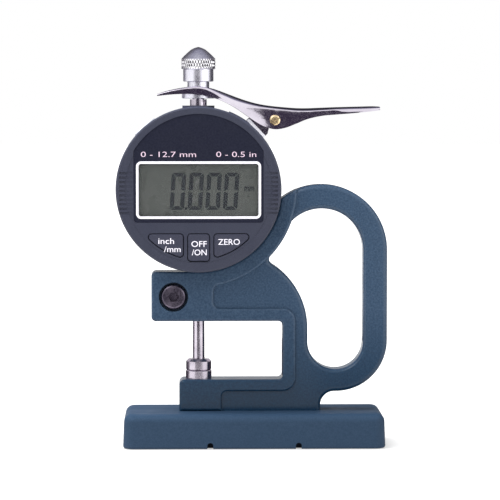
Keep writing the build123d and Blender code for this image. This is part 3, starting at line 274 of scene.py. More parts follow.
# Plastics, rubbers and matt coats: grain and depth of the skin in millimetres, roughness
PLASTICS = {
    "case_plastic": ((56, 59, 79), (68, 71, 92), 0.3, 0.01, 0.5),
    "cover_plastic": ((186, 188, 194), (204, 206, 212), 0.4, 0.005, 0.35),
    "bezel_plastic": ((40, 43, 58), (49, 52, 68), 0.28, 0.012, 0.46),
    "panel_gloss": ((29, 31, 43), (35, 37, 49), 0.6, 0.001, 0.12),
    "display_glass": ((84, 86, 84), (92, 94, 91), 0.8, 0.001, 0.3),
    "strip_rubber": ((90, 90, 92), (104, 104, 106), 0.3, 0.01, 0.7),
    "pad_rubber": ((120, 120, 124), (136, 136, 140), 0.3, 0.01, 0.7),
    "board": ((14, 78, 40), (22, 92, 50), 0.5, 0.01, 0.4),
    "inner_plastic": ((34, 34, 36), (44, 44, 46), 0.3, 0.01, 0.55),
    # Seat plate of bright metal, drawn as a near-white matt coat: a painted reflection of
    # the white surroundings
    "seat_reflection_white": ((230, 230, 238), (240, 240, 247), 0.5, 0.001, 0.35),
    "scale_glass": ((150, 112, 52), (176, 134, 66), 0.5, 0.002, 0.3),
    "key_rubber": ((41, 43, 59), (50, 52, 68), 0.25, 0.008, 0.5),
}
# Metals: roughness, and where they aren't the usual, how much the marks are squeezed
# along Z, their scale to the metre and their depth in millimetres
METALS = {
    "plate_steel": ((150, 152, 155), (175, 177, 180), 0.35),
    "screw_steel": ((160, 160, 162), (190, 190, 192), 0.3),
    "black_steel": ((80, 75, 88), (124, 116, 130), 0.36),
    "ground_steel": ((170, 163, 174), (194, 187, 197), 0.2, 6.0),
    "battery_steel": ((180, 180, 176), (205, 205, 200), 0.25),
    "bright_plate": ((190, 186, 194), (215, 210, 218), 0.16),
    "brass": ((236, 206, 152), (250, 228, 184), 0.28),
    # Near black: painted shade for the base plate seen through the notches of the base
    "notch_shade_plate": ((24, 26, 32), (34, 36, 44), 0.6),
    "knob_chrome": ((214, 213, 222), (232, 231, 240), 0.31, 8.0),
    "carrier_alloy": ((180, 180, 184), (200, 200, 204), 0.35),
    "lever_chrome": ((214, 206, 220), (236, 230, 242), 0.11, 1.0, 420.0, 0.03),
}
INKS = {
    "white_ink": ((214, 212, 222), (236, 232, 240)),
    "range_ink": ((200, 176, 194), (222, 200, 216)),
    "segment_ink": ((26, 28, 36), (34, 36, 44)),
}
# Nodes whose finish differs from the others in their slot: the base plate takes a
# near-black finish, painted shade for the notches of the base through which it is seen
# The seat plate's near-white finish is a painted reflection
NODE_FINISHES = {"seat_plate": "seat_reflection_white", "base_plate": "notch_shade_plate"}

# Sockets of the Mix node that belong to colours
MIX_FACTOR, MIX_FIRST, MIX_SECOND, MIX_RESULT = 0, 6, 7, 2

# Floor: half its width, how far it lies under the object, the distances between which
# it turns from grey, a painted shade near the object that offsets the overhead light, to
# white, those two tones, its glow and its roughness
FLOOR_HALF = 6.0
FLOOR_DROP = 0.2 * MM
FLOOR_FADE = (0.15, 1.1)
FLOOR_NEAR_SHADE = (0.34, 0.34, 0.34, 1.0)
FLOOR_FAR = (0.93, 0.93, 0.93, 1.0)
FLOOR_GLOW = 0.5
FLOOR_ROUGHNESS = 0.9

# Strength of the white surroundings
SKY_STRENGTH = 1.0

# Lights: place, aim, width and height, power, and whether mirrors see them
LIGHT_AIM = (0.0, 0.0, 0.07)
LIGHTS = {
    "key_light": ((-0.7, -0.9, 1.1), LIGHT_AIM, (0.8, 0.8), 7.0, True),
    "fill_light": ((1.0, -0.7, 0.5), LIGHT_AIM, (0.6, 0.9), 3.0, True),
    "overhead_light": ((-0.2, 0.0, 0.62), (-0.02, 0.0, 0.0), (0.4, 0.4), 9.0, False),
}

# Cards that only mirrors see: middle, width and height, the way they face, colour.
# Each is a square of one metre before it takes its width and height.
CARD_HALF = 0.5
TO_RIGHT, TO_LEFT = (1.0, 0.0, 0.0), (-1.0, 0.0, 0.0)
TO_BACK, TO_FRONT = (0.0, 1.0, 0.0), (0.0, -1.0, 0.0)
UP, DOWN = (0.0, 0.0, 1.0), (0.0, 0.0, -1.0)
CARDS = {
    "front_card": ((-0.11, -0.45, 0.088), (0.4, 0.174), TO_BACK, (0.045, 0.036, 0.06)),
    "bench_card": ((0.08, -0.38, 0.001), (0.1, 0.46), UP, (0.045, 0.036, 0.06)),
    "low_left_card": ((-0.28, 0.24, 0.05), (0.52, 0.1), TO_RIGHT, (0.28, 0.25, 0.3)),
    "arm_card": ((axis_x, 0.017, 0.0445), (0.1, 0.05), DOWN, (0.85, 0.8, 0.86)),
    "low_right_card": ((0.28, 0.27, 0.05), (0.46, 0.1), TO_LEFT, (0.05, 0.04, 0.06)),
    "bench_back_card": ((0.0, 0.21, 0.001), (0.56, 0.36), UP, (0.07, 0.06, 0.08)),
    "left_card": ((-0.8, 0.95, 0.4), (1.3, 0.82), TO_RIGHT, (0.34, 0.33, 0.38)),
    "low_card": ((-0.066, -0.2, 0.042), (0.174, 0.082), TO_BACK, (0.07, 0.055, 0.08)),
    "back_card": ((0.05, 0.5, 0.2275), (1.5, 0.205), TO_FRONT, (0.03, 0.03, 0.04)),
    "back_high_card": ((0.05, 0.5, 0.965), (1.5, 1.27), TO_FRONT, (0.1, 0.095, 0.12)),
    "right_card": ((0.8, 0.82, 0.4), (1.56, 0.82), TO_LEFT, (0.07, 0.07, 0.09)),
    "top_card": ((0.0, 0.2, 1.2), (1.6, 0.6), DOWN, (0.27, 0.27, 0.36)),
}


def set_camera():
    data = bpy.data.cameras.new("camera")
    data.sensor_width = SENSOR_WIDTH
    data.lens = CAMERA_LENS
    data.clip_start, data.clip_end = CAMERA_CLIP
    data.dof.use_dof = False
    camera = bpy.data.objects.new("camera", data)
    camera.location = CAMERA_PLACE
    camera.rotation_euler = (math.pi / 2 - CAMERA_DROP, 0.0, CAMERA_TURN)
    bpy.context.scene.collection.objects.link(camera)
    bpy.context.scene.camera = camera


# Materials


def linear(colour):
    """An eight-bit sRGB colour, as a screen shows it, in the shader's linear values."""
    return tuple(
        value / 255 / 12.92 if value <= 10 else ((value / 255 + 0.055) / 1.055) ** 2.4
        for value in colour
    ) + (1.0,)


def new_material(name):
    material = bpy.data.materials.new(name)
    material.use_nodes = True
    shader = material.node_tree.nodes["Principled BSDF"]
    return material, shader


def add_node(material, kind, **values):
    """A node of the material, with sockets set by name and settings by attribute."""
    node = material.node_tree.nodes.new(kind)
    for name, value in values.items():
        socket = node.inputs.get(name.replace("_", " "))
        if socket is not None:
            socket.default_value = value
        else:
            setattr(node, name, value)
    return node


def link(material, output, target):
    material.node_tree.links.new(output, target)


def place_node(material, squeeze=1.0):
    """Coordinates of the model in metres, multiplied along Z to squeeze a texture."""
    coordinates = add_node(material, "ShaderNodeTexCoord")
    mapping = add_node(material, "ShaderNodeMapping", Scale=(1.0, 1.0, squeeze))
    link(material, coordinates.outputs["Object"], mapping.inputs["Vector"])
    return mapping.outputs["Vector"]


def noise(material, place, scale, kind=SOFT_NOISE):
    detail, roughness = kind
    node = add_node(
        material, "ShaderNodeTexNoise", Scale=scale, Detail=detail, Roughness=roughness
    )
    link(material, place, node.inputs["Vector"])
    return node.outputs["Fac"]


def spread(material, value, source, target=(0.0, 1.0)):
    """Maps a range of a value to another range, and holds it at that range's ends."""
    node = add_node(material, "ShaderNodeMapRange", clamp=True)
    names = ("From Min", "From Max", "To Min", "To Max")
    for name, number in zip(names, source + target):
        node.inputs[name].default_value = number
    link(material, value, node.inputs["Value"])
    return node.outputs["Result"]


def blend_colours(material, factor, first, second):
    node = add_node(material, "ShaderNodeMix", data_type="RGBA")
    node.inputs[MIX_FIRST].default_value = first
    node.inputs[MIX_SECOND].default_value = second
    link(material, factor, node.inputs[MIX_FACTOR])
    return node.outputs[MIX_RESULT]


def vector_math(material, operation, *values):
    """A vector operation on outputs of other nodes or on plain vectors."""
    node = add_node(material, "ShaderNodeVectorMath", operation=operation)
    for value, socket in zip(values, node.inputs):
        if isinstance(value, tuple):
            socket.default_value = value
        else:
            link(material, value, socket)
    return node.outputs["Value" if operation == "LENGTH" else "Vector"]


def set_tones(material, shader, factor, dark, light):
    tone = blend_colours(material, factor, linear(dark), linear(light))
    link(material, tone, shader.inputs["Base Color"])


def set_roughness(material, shader, texture, low, high):
    roughness = spread(material, texture, NOISE_RANGE, (low, high))
    link(material, roughness, shader.inputs["Roughness"])


def add_bump(material, shader, height, distance):
    node = add_node(material, "ShaderNodeBump", Distance=distance)
    link(material, height, node.inputs["Height"])
    link(material, node.outputs["Normal"], shader.inputs["Normal"])


def painted(name, dark, light, cell, depth, rough, coat, foot_shade):
    """Baked paint with a fine hammered skin, and painted shade that darkens it towards its
    foot.
    """
    material, shader = new_material(name)
    place = place_node(material)
    speck = noise(material, place, 1 / (cell * MM), PAINT_NOISE)
    tone = spread(material, speck, PAINT_RANGE)
    parts = add_node(material, "ShaderNodeSeparateXYZ")
    link(material, place, parts.inputs["Vector"])
    # Painted shade: low down the colour is multiplied by the foot's tint, which fades out
    # higher up
    height = spread(material, parts.outputs["Z"], PAINTED_SHADE_HEIGHTS)
    shaded_paint = vector_math(
        material,
        "MULTIPLY",
        blend_colours(material, tone, linear(dark), linear(light)),
        blend_colours(material, height, foot_shade, WHITE),
    )
    link(material, shaded_paint, shader.inputs["Base Color"])
    dimples = add_node(
        material,
        "ShaderNodeTexVoronoi",
        Scale=DIMPLES / (cell * MM),
        feature="SMOOTH_F1",
    )
    link(material, place, dimples.inputs["Vector"])
    skin = add_node(material, "ShaderNodeMath", operation="ADD")
    link(material, dimples.outputs["Distance"], skin.inputs[0])
    link(material, speck, skin.inputs[1])
    add_bump(material, shader, skin.outputs["Value"], depth * MM)
    patches = noise(material, place, PAINT_PATCHES)
    set_roughness(material, shader, patches, *(rough + stray for stray in PAINT_STRAY))
    shader.inputs["Specular IOR Level"].default_value = PAINT_SPECULAR
    shader.inputs["Coat Weight"].default_value = coat
    shader.inputs["Coat Roughness"].default_value = PAINT_COAT_ROUGHNESS
    return material


def moulded(name, dark, light, grain, depth, rough):
    """Moulded plastic, rubber or a matt coat with a fine grained skin."""
    material, shader = new_material(name)
    place = place_node(material)
    speck = noise(material, place, 1 / (grain * MM), SKIN_NOISE)
    set_tones(material, shader, spread(material, speck, SKIN_RANGE), dark, light)
    add_bump(material, shader, speck, depth * MM)
    patches = noise(material, place, PLASTIC_PATCHES)
    set_roughness(material, shader, patches, *(rough + stray for stray in PLASTIC_STRAY))
    shader.inputs["Specular IOR Level"].default_value = PLASTIC_SPECULAR
    return material


def metal(name, dark, light, rough, squeeze=1.0, scale=TOOL_MARKS, depth=MARK_DEPTH):
    """Bare or plated metal with faint tool marks and small stains."""
    material, shader = new_material(name)
    marks = noise(material, place_node(material, squeeze), scale)
    stains = noise(material, place_node(material), METAL_STAINS, STAIN_NOISE)
    set_tones(material, shader, spread(material, stains, SKIN_RANGE), dark, light)
    shader.inputs["Metallic"].default_value = 1.0
    set_roughness(material, shader, marks, *(rough * stray for stray in METAL_STRAY))
    add_bump(material, shader, marks, depth * MM)
    return material


def knurled(name, dark, light):
    """Chromed knurl: by the distance from the axis, bright points and pits darkened with
    painted shade.
    """
    material, shader = new_material(name)
    place = place_node(material)
    centred = vector_math(material, "SUBTRACT", place, (axis_x, 0.0, 0.0))
    across = vector_math(material, "MULTIPLY", centred, (1.0, 1.0, 0.0))
    radius = vector_math(material, "LENGTH", across)
    # Painted shade: deeper into the knurl the tone turns dark
    edges = (knob_radius - KNURL_SHADED_DEPTH, knob_radius - KNURL_UNSHADED_DEPTH)
    set_tones(material, shader, spread(material, radius, edges), dark, light)
    shader.inputs["Metallic"].default_value = 1.0
    worn = noise(material, place, KNURL_WEAR)
    set_roughness(material, shader, worn, *KNURL_ROUGHNESS)
    return material


def clear_plastic(name, tone, cover):
    """Clear polished window: a thin tinted film that still reflects."""
    material, shader = new_material(name)
    haze = noise(material, place_node(material), WINDOW_HAZE)
    set_roughness(material, shader, haze, *WINDOW_ROUGHNESS)
    shader.inputs["Base Color"].default_value = linear(tone)
    shader.inputs["Alpha"].default_value = cover
    return material


def printed(name, dark, light):
    """Ink with a slightly uneven tone."""
    material, shader = new_material(name)
    speck = noise(material, place_node(material), INK_SPECKS)
    set_tones(material, shader, spread(material, speck, NOISE_RANGE), dark, light)
    shader.inputs["Roughness"].default_value = INK_ROUGHNESS
    return material


def make_materials():
    """Every finish of the object by its name."""
    finishes = {
        "window_clear": clear_plastic("window_clear", WINDOW_TONE, WINDOW_COVER),
        "knurled_chrome": knurled("knurled_chrome", *KNURL_PIT_SHADE_TONES),
    }
    for make, table in (
        (painted, PAINTS),
        (moulded, PLASTICS),
        (metal, METALS),
        (printed, INKS),
    ):
        for name, values in table.items():
            finishes[name] = make(name, *values)
    return finishes


def dress_nodes(finishes):
    """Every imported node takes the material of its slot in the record."""
    for row in frame["record"]["subparts"]:
        mesh = frame["nodes"][row["node"]].data
        mesh.materials.clear()
        finish = NODE_FINISHES.get(row["node"], row["material_slot"])
        mesh.materials.append(finishes[finish])


# Mesh helpers


def finish_piece(name, mesh_data, material, body, smooth=False):
    """Makes an object from a bmesh and lets it ride on a body."""
    mesh = bpy.data.meshes.new(name)
    mesh_data.to_mesh(mesh)
    mesh_data.free()
    for face in mesh.polygons:
        face.use_smooth = smooth
    mesh.materials.append(material)
    piece = bpy.data.objects.new(name, mesh)
    bpy.context.scene.collection.objects.link(piece)
    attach(piece, body)
    return piece


def sharpen(piece, degrees):
    """Shades a piece smoothly, but keeps the edges that turn more than an angle."""
    mesh_data = bmesh.new()
    mesh_data.from_mesh(piece.data)
    for edge in mesh_data.edges:
        if len(edge.link_faces) == 2:
            edge.smooth = edge.calc_face_angle(0.0) < math.radians(degrees)
    mesh_data.to_mesh(piece.data)
    mesh_data.free()


def join_loops(mesh_data, first, second, sides=None):
    """Faces between two loops of vertices, either of which may be a single point."""
    count = max(len(first), len(second))
    faces = []
    for i in range(sides or count):
        after = (i + 1) % count
        if len(first) == 1:
            vertices = (first[0], second[after], second[i])
        elif len(second) == 1:
            vertices = (first[i], first[after], second[0])
        else:
            vertices = (first[i], first[after], second[after], second[i])
        faces.append(mesh_data.faces.new(vertices))
    return faces


def plate_loop(mesh_data, outline, depth, centre=(0.0, 0.0)):
    """Vertices of an outline in X and Z, at a depth in Y."""
    return [mesh_data.verts.new((centre[0] + x, depth, centre[1] + z)) for x, z in outline]


def slab(mesh_data, outline, front):
    """Thin plate with its outline in X and Z, from the given Y towards the back."""
    near = plate_loop(mesh_data, outline, front)
    far = plate_loop(mesh_data, outline, front + PRINT_THICKNESS)
    mesh_data.faces.new(near)
    mesh_data.faces.new(far[::-1])
    join_loops(mesh_data, far, near)


def rounded_outline(half_width, half_height, radius):
    """Points of a rectangle with round corners, centred on zero."""
    points = []
    for corner in range(4):
        side_x = 1 if corner in (0, 3) else -1
        side_z = 1 if corner in (0, 1) else -1
        for step in range(CORNER_STEPS + 1):
            angle = math.pi / 2 * (corner + step / CORNER_STEPS)
            points.append(
                (
                    side_x * (half_width - radius) + radius * math.cos(angle),
                    side_z * (half_height - radius) + radius * math.sin(angle),
                )
            )
    return points


# Prints


def make_window_line(ink):
    """White line printed round the window."""
    half_width = (window_high.x - window_low.x) / 2
    half_height = (window_high.z - window_low.z) / 2
    outer = rounded_outline(half_width, half_height, LINE_CORNER)
    inner = rounded_outline(
        half_width - LINE_WIDTH, half_height - LINE_WIDTH, LINE_CORNER - LINE_WIDTH
    )
    back = window_low.y
    front = back - PRINT_THICKNESS
    mesh_data = bmesh.new()
    loops = [
        plate_loop(mesh_data, outline, depth, (window_x, window_z))
        for outline, depth in ((outer, front), (inner, front), (inner, back), (outer, back))
    ]
    for first, second in zip(loops, loops[1:] + loops[:1]):
        join_loops(mesh_data, first, second)
    bmesh.ops.recalc_face_normals(mesh_data, faces=mesh_data.faces)
    finish_piece("window_line", mesh_data, ink, "stand")


def make_text(name, words, centre, size, weight, ink, body):
    """Flat lettering that faces the viewer, fitted to a width and a height."""
    curve = bpy.data.curves.new(name + "_curve", "FONT")
    curve.body = words
    curve.offset = weight
    curve.resolution_u = TEXT_STEPS
    holder = bpy.data.objects.new(name + "_holder", curve)
    bpy.context.scene.collection.objects.link(holder)
    bpy.context.view_layer.update()
    mesh = bpy.data.meshes.new_from_object(holder)
    bpy.data.objects.remove(holder)
    bpy.data.curves.remove(curve)
    xs = [vertex.co.x for vertex in mesh.vertices]
    ys = [vertex.co.y for vertex in mesh.vertices]
    grow_x = size[0] / (max(xs) - min(xs))
    grow_z = size[1] / (max(ys) - min(ys))
    middle_x = (max(xs) + min(xs)) / 2
    middle_y = (max(ys) + min(ys)) / 2
    for vertex in mesh.vertices:
        vertex.co = (
            centre[0] + (vertex.co.x - middle_x) * grow_x,
            centre[1],
            centre[2] + (vertex.co.y - middle_y) * grow_z,
        )
    mesh_data = bmesh.new()
    mesh_data.from_mesh(mesh)
    bpy.data.meshes.remove(mesh)
    bmesh.ops.recalc_face_normals(mesh_data, faces=mesh_data.faces)
    for face in mesh_data.faces:
        if face.normal.y > 0:
            face.normal_flip()
    finish_piece(name, mesh_data, ink, body)


def make_labels(ink, range_ink):
    """Range line above the window and the words on the keys."""
    centre = (dial_x, panel_front - PRINT_THICKNESS, dial_z + RANGE_RAISE)
    make_text(
        "range_line", RANGE_WORDS, centre, RANGE_SIZE, LETTER_WEIGHT, range_ink, "stand"
    )
    for name, (words, body, x, z, width) in KEY_LABELS.items():
        key_front = corners(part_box(body))[0].y
        centre = (dial_x + x * MM, key_front - PRINT_THICKNESS, dial_z + z * MM)
        size = (width * MM, LABEL_HEIGHT * MM)
        make_text(name, words, centre, size, KEY_WEIGHT, ink, body)


def segment_outlines():
    """The six lit segments of a zero, in a box from (0, 0) to the digit's size."""
    wide, tall, gap = DIGIT_WIDTH, DIGIT_HEIGHT, SEGMENT_GAP
    half = tall / 2
    stroke, depth, inner = DIGIT_STROKE, DIGIT_STROKE * 0.9, DIGIT_STROKE * 0.95
    chamfer, outer, tip = DIGIT_STROKE * 0.35, DIGIT_STROKE * 0.2, DIGIT_STROKE * 0.15
    level_bar = [
        (outer + gap, tall),
        (wide - outer - gap, tall),
        (wide - inner - gap, tall - depth),
        (inner + gap, tall - depth),
    ]
    upright = [
        (0.0, half + gap),
        (stroke / 2, half + gap + tip),
        (stroke, half + gap + chamfer),
        (stroke, tall - inner - gap),
        (chamfer, tall - chamfer / 2 - gap),
        (0.0, tall - chamfer - gap),
    ]
    bars = [level_bar, [(x, tall - z) for x, z in reversed(level_bar)]]
    for left in (True, False):
        for top in (True, False):
            points = [(x if left else wide - x, z if top else tall - z) for x, z in upright]
            bars.append(points if left == top else points[::-1])
    return bars


def make_digits(ink):
    """Reading of the display: four zeros, a decimal point and the unit."""
    base_z = lcd_z + DIGIT_RAISE - DIGIT_HEIGHT / 2
    front = lcd_low.y - PRINT_THICKNESS
    mesh_data = bmesh.new()
    bars = segment_outlines()
    for left in DIGIT_LEFTS:
        for bar in bars:
            slanted = [(lcd_x + left + x + z * DIGIT_SLANT, base_z + z) for x, z in bar]
            slab(mesh_data, slanted, front)
    point = [(0.0, 0.0), (POINT_SIZE, 0.0), (POINT_SIZE, POINT_SIZE), (0.0, POINT_SIZE)]
    slab(mesh_data, [(lcd_x + POINT_LEFT + x, base_z + z) for x, z in point], front)
    bmesh.ops.recalc_face_normals(mesh_data, faces=mesh_data.faces)
    finish_piece("display_digits", mesh_data, ink, "stand")
    centre = (lcd_x + UNIT_LEFT + UNIT_WIDTH / 2, front, lcd_z + UNIT_RAISE)
    size = (UNIT_WIDTH, UNIT_HEIGHT)
    make_text("display_unit", UNIT_WORDS, centre, size, UNIT_WEIGHT, ink, "stand")


# Lifting knob with its knurled band


def knob_profile():
    """Radius and height pairs of the knob below and above its knurled band."""
    top = knob_high.z
    flange_top = top - KNOB_FLANGE_TOP
    neck_top = top - KNOB_NECK_TOP
    band_end = top - KNOB_BAND_END
    cone_end = top - KNOB_CONE_END
    cone_radius = knob_radius - BAND_EDGE
    below = [
        (0.0, knob_low.z),
        (KNOB_FLANGE - KNOB_EDGE, knob_low.z),
        (KNOB_FLANGE, knob_low.z + KNOB_EDGE),
        (KNOB_FLANGE, flange_top - KNOB_EDGE),
        (KNOB_FLANGE - KNOB_EDGE, flange_top),
        (KNOB_NECK + KNOB_EDGE, flange_top),
        (KNOB_NECK, flange_top + KNOB_EDGE),
        (KNOB_NECK, neck_top - KNOB_EDGE),
        (KNOB_NECK + KNOB_EDGE, neck_top),
        (KNOB_BODY - KNOB_EDGE, neck_top),
        (KNOB_BODY, neck_top + KNOB_EDGE),
        (KNOB_BODY, band_end - KNOB_EDGE),
        (knob_radius - BAND_INSET, band_end),
        (knob_radius, band_end + BAND_EDGE),
    ]
    above = [(knob_radius, cone_end - BAND_EDGE), (cone_radius, cone_end)]
    for step in range(1, CONE_STEPS + 1):
        share = step / CONE_STEPS
        radius = cone_radius * (1 - share) + KNOB_SHOULDER * share
        height = cone_end + (KNOB_CONE_END - KNOB_CONE_TOP) * share
        above.append((radius, height + KNOB_EDGE * math.sin(math.pi * share)))
    for step in range(1, NOSE_STEPS):
        share = step / NOSE_STEPS
        rise = share + NOSE_BULGE * math.sin(math.pi * share)
        above.append((KNOB_SHOULDER * (1 - share), top - KNOB_CONE_TOP * (1 - rise)))
    above.append((0.0, top))
    return below, above


def knurl_cut(turn_step, row):
    """Depth of the diamond knurl at a step round the band and a step up it."""
    first = abs(((turn_step + row) / KNURL_STEPS) % 1.0 - 0.5) * 2
    second = abs(((turn_step - row) / KNURL_STEPS) % 1.0 - 0.5) * 2
    return KNURL_DEPTH * (1 - (first + second) / 2)


def make_knob(smooth_metal, knurled_metal):
    """Knob turned on the spindle's axis, with its band cut into diamonds."""
    below, above = knob_profile()
    around = KNURL_COUNT * KNURL_STEPS
    mesh_data = bmesh.new()

    def ring(radii, height):
        turns = [2 * math.pi * i / around for i in range(around)]
        return [
            mesh_data.verts.new(
                (axis_x + radius * math.cos(turn), radius * math.sin(turn), height)
            )
            for radius, turn in zip(radii, turns)
        ]

    def plain_rings(profile):
        return [
            ring([radius] * around if radius else [0.0], height)
            for radius, height in profile
        ]

    rings = plain_rings(below)
    first_band_ring = len(rings) - 1
    (band_radius, band_low), (_, band_high) = below[-1], above[0]
    rows = round(KNURL_ROWS * KNURL_STEPS)
    for row in range(1, rows):
        height = band_low + (band_high - band_low) * row / rows
        radii = [band_radius - knurl_cut(i, row) for i in range(around)]
        rings.append(ring(radii, height))
    last_band_ring = len(rings)
    rings += plain_rings(above)
    for index, (lower, upper) in enumerate(zip(rings, rings[1:])):
        for face in join_loops(mesh_data, lower, upper):
            face.material_index = 1 if first_band_ring <= index < last_band_ring else 0
    bmesh.ops.recalc_face_normals(mesh_data, faces=mesh_data.faces)
    piece = finish_piece(
        "knob_turned", mesh_data, smooth_metal, "spindle_unit", True
    )
    piece.data.materials.append(knurled_metal)
    sharpen(piece, KNOB_CREASE)
    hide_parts("knob")


# Lever with its rounded shoulders


def smooth_step(share, here, there, slope_here, slope_there):
    """A value on the smooth curve between two values with the given slopes."""
    return (
        (2 * share**3 - 3 * share**2 + 1) * here
        + (share**3 - 2 * share**2 + share) * slope_here
        + (3 * share**2 - 2 * share**3) * there
        + (share**3 - share**2) * slope_there
    )


def lever_size(x):
    """Sizes of the lever at X, on smooth curves through its stations."""
    last = len(LEVER_STATIONS) - 1
    index = 0
    while index < last - 1 and x > LEVER_STATIONS[index + 1][0]:
        index += 1
    around = [LEVER_STATIONS[min(max(index + k, 0), last)] for k in (-1, 0, 1, 2)]
    first, left, right, end = (station[0] for station in around)
    span = right - left
    share = (x - left) / span
    sizes = []
    for before, here, there, beyond in list(zip(*around))[1:]:
        slope_here = (there - before) / (right - first) * span
        slope_there = (beyond - here) / (end - left) * span
        sizes.append(smooth_step(share, here, there, slope_here, slope_there))
    return sizes


def fork_edge(x):
    """Half width of the fork's slot at X, with its round ends."""
    if not FORK_LEFT < x < FORK_RIGHT:
        return 0.0
    reach = min(x - FORK_LEFT, FORK_RIGHT - x, FORK_HALF)
    return math.sqrt(max(FORK_HALF**2 - (FORK_HALF - reach) ** 2, 0.0))


def lever_section(x):
    """Half of the channel at X: points of its outside and inside, from the middle."""
    top, low, depth, width, flare, crown = lever_size(x)
    crown = max(crown, 0.0)
    depth = min(depth, SHOULDER_SHARE * (top - crown - low))
    sheet = min(LEVER_SHEET, SHEET_SHARE * (top - low))
    inner_edge = fork_edge(x)
    flat_end = LEVER_HALF - flare - width
    outside, inside = [], []
    for step in range(CROWN_STEPS + 1):
        y = inner_edge + (flat_end - inner_edge) * step / CROWN_STEPS
        height = top - crown * (y / flat_end) ** 2
        outside.append((y, height))
        inside.append((y, height - sheet))
    centre_z = top - crown - depth
    for step in range(1, SHOULDER_STEPS + 1):
        angle = math.pi / 2 * step / SHOULDER_STEPS
        sine, cosine = math.sin(angle), math.cos(angle)
        outside.append((flat_end + width * sine, centre_z + depth * cosine))
        inside.append(
            (flat_end + (width - sheet) * sine, centre_z + (depth - sheet) * cosine)
        )
    corner_y, corner_z = outside[-1]
    for step in range(1, SIDE_STEPS + 1):
        share = step / SIDE_STEPS
        y = corner_y + flare * share**FLARE_POWER
        z = corner_z + (low - corner_z) * share
        outside.append((y, z))
        inside.append((y - sheet, z))
    return outside, inside


def lever_places():
    """Places along the lever, closer together at the ends of the fork's slot."""
    first, last = LEVER_STATIONS[0][0], LEVER_STATIONS[-1][0]
    length = last - first
    places = {first + length * step / LEVER_STEPS for step in range(LEVER_STEPS + 1)}
    for step in range(FORK_STEPS + 1):
        reach = FORK_HALF * (1 - math.cos(math.pi / 2 * step / FORK_STEPS))
        places.update((FORK_LEFT + reach, FORK_RIGHT - reach))
    return sorted(places)


def drill_pivot(piece):
    """Cuts the pivot screw's hole through both sides of the lever."""
    drill = bmesh.new()
    bmesh.ops.create_cone(
        drill,
        segments=DRILL_SIDES,
        radius1=PIVOT_HOLE * MM,
        radius2=PIVOT_HOLE * MM,
        depth=4 * LEVER_HALF * MM,
        cap_ends=True,
        matrix=Matrix.Translation((pivot_x, 0.0, pivot_z))
        @ Matrix.Rotation(math.pi / 2, 4, "X"),
    )
    drill_mesh = bpy.data.meshes.new("pivot_drill")
    drill.to_mesh(drill_mesh)
    drill.free()
    drill_object = bpy.data.objects.new("pivot_drill", drill_mesh)
    bpy.context.scene.collection.objects.link(drill_object)
    cut = piece.modifiers.new("pivot_hole", "BOOLEAN")
    cut.object = drill_object
    cut.operation = "DIFFERENCE"
    bpy.context.view_layer.update()
    drilled = bpy.data.meshes.new_from_object(
        piece.evaluated_get(bpy.context.evaluated_depsgraph_get())
    )
    piece.modifiers.remove(cut)
    piece.data = drilled
    bpy.data.objects.remove(drill_object)


def make_lever(material):
    """Pressed channel: two mirrored halves of sections, joined along the middle."""
    places = lever_places()
    mesh_data = bmesh.new()
    for side in (-1, 1):
        rows = []
        for x in places:
            outside, inside = lever_section(x)
            rows.append(
                [
                    mesh_data.verts.new((x * MM, side * y * MM, z * MM))
                    for y, z in outside + inside[::-1]
                ]
            )
        count = len(rows[0])
        for before, after, left, right in zip(rows, rows[1:], places, places[1:]):
            slotted = fork_edge(left) > 0 or fork_edge(right) > 0
            join_loops(mesh_data, before, after, count if slotted else count - 1)
        for row in (rows[0], rows[-1]):
            inner = row[::-1]
            for i in range(count // 2 - 1):
                mesh_data.faces.new((row[i], row[i + 1], inner[i + 1], inner[i]))
    bmesh.ops.remove_doubles(mesh_data, verts=mesh_data.verts, dist=WELD_DISTANCE)
    bmesh.ops.recalc_face_normals(mesh_data, faces=mesh_data.faces)
    piece = finish_piece(
        "lever_pressed", mesh_data, material, "lever", True
    )
    drill_pivot(piece)
    sharpen(piece, LEVER_CREASE)
    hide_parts("lever")


# Studio


def flat_square(name, half, material):
    """A square that lies in its own X and Y."""
    mesh_data = bmesh.new()
    bmesh.ops.create_grid(mesh_data, x_segments=1, y_segments=1, size=half)
    mesh = bpy.data.meshes.new(name)
    mesh_data.to_mesh(mesh)
    mesh_data.free()
    mesh.materials.append(material)
    square = bpy.data.objects.new(name, mesh)
    bpy.context.scene.collection.objects.link(square)
    return square


def aimed(direction):
    """Turn of a lamp or a card that makes it look in a direction."""
    return Vector(direction).to_track_quat("-Z", "Y").to_euler()


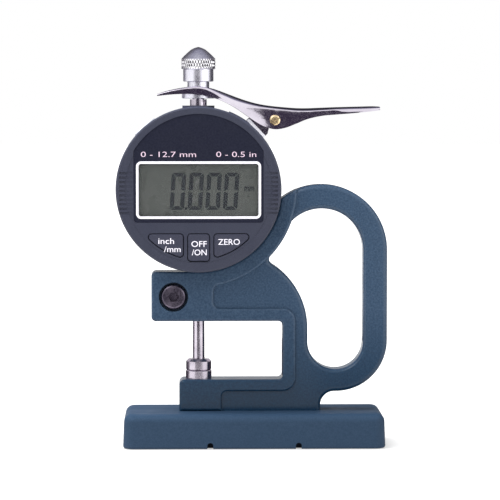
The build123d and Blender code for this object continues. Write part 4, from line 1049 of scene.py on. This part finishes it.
def make_floor():
    """Floor that is greyer under the object, a painted shade that offsets the overhead
    light there, and fades to white.
    """
    material, shader = new_material("floor")
    away = vector_math(material, "LENGTH", place_node(material))
    far = spread(material, away, FLOOR_FADE)
    tone = blend_colours(material, far, FLOOR_NEAR_SHADE, FLOOR_FAR)
    link(material, tone, shader.inputs["Base Color"])
    shader.inputs["Emission Color"].default_value = WHITE
    shader.inputs["Emission Strength"].default_value = FLOOR_GLOW
    shader.inputs["Roughness"].default_value = FLOOR_ROUGHNESS
    shader.inputs["Specular IOR Level"].default_value = 0.0
    floor = flat_square("floor", FLOOR_HALF, material)
    floor.location.z = cad_box[0][2] - FLOOR_DROP


def make_card(name, centre, size, facing, colour):
    """A panel that only mirrors see, as a studio's dark or bright side."""
    material = bpy.data.materials.new(name)
    material.use_nodes = True
    material.node_tree.nodes.clear()
    glow = add_node(material, "ShaderNodeEmission", Color=colour + (1.0,))
    surface = add_node(material, "ShaderNodeOutputMaterial").inputs["Surface"]
    link(material, glow.outputs["Emission"], surface)
    card = flat_square(name, CARD_HALF, material)
    card.location = centre
    card.rotation_euler = aimed(facing)
    card.scale = size + (1.0,)
    card.visible_camera = False
    card.visible_diffuse = False
    card.visible_shadow = False
    card.visible_transmission = False


def make_light(name, place, target, size, power, in_mirrors):
    data = bpy.data.lights.new(name, "AREA")
    data.shape = "RECTANGLE"
    data.size, data.size_y = size
    data.energy = power
    lamp = bpy.data.objects.new(name, data)
    lamp.location = place
    lamp.rotation_euler = aimed(Vector(target) - Vector(place))
    lamp.visible_glossy = in_mirrors
    bpy.context.scene.collection.objects.link(lamp)


def make_studio():
    """White surroundings, floor, lights and cards."""
    world = bpy.data.worlds.new("studio")
    world.use_nodes = True
    sky = world.node_tree.nodes["Background"]
    sky.inputs["Color"].default_value = WHITE
    sky.inputs["Strength"].default_value = SKY_STRENGTH
    bpy.context.scene.world = world
    bpy.context.scene.view_settings.view_transform = "Standard"
    make_floor()
    for name, values in LIGHTS.items():
        make_light(name, *values)
    for name, values in CARDS.items():
        make_card(name, *values)


set_camera()
materials = make_materials()
dress_nodes(materials)
make_window_line(materials["white_ink"])
make_labels(materials["white_ink"], materials["range_ink"])
make_digits(materials["segment_ink"])
make_knob(materials["knob_chrome"], materials["knurled_chrome"])
make_lever(materials["lever_chrome"])
make_studio()
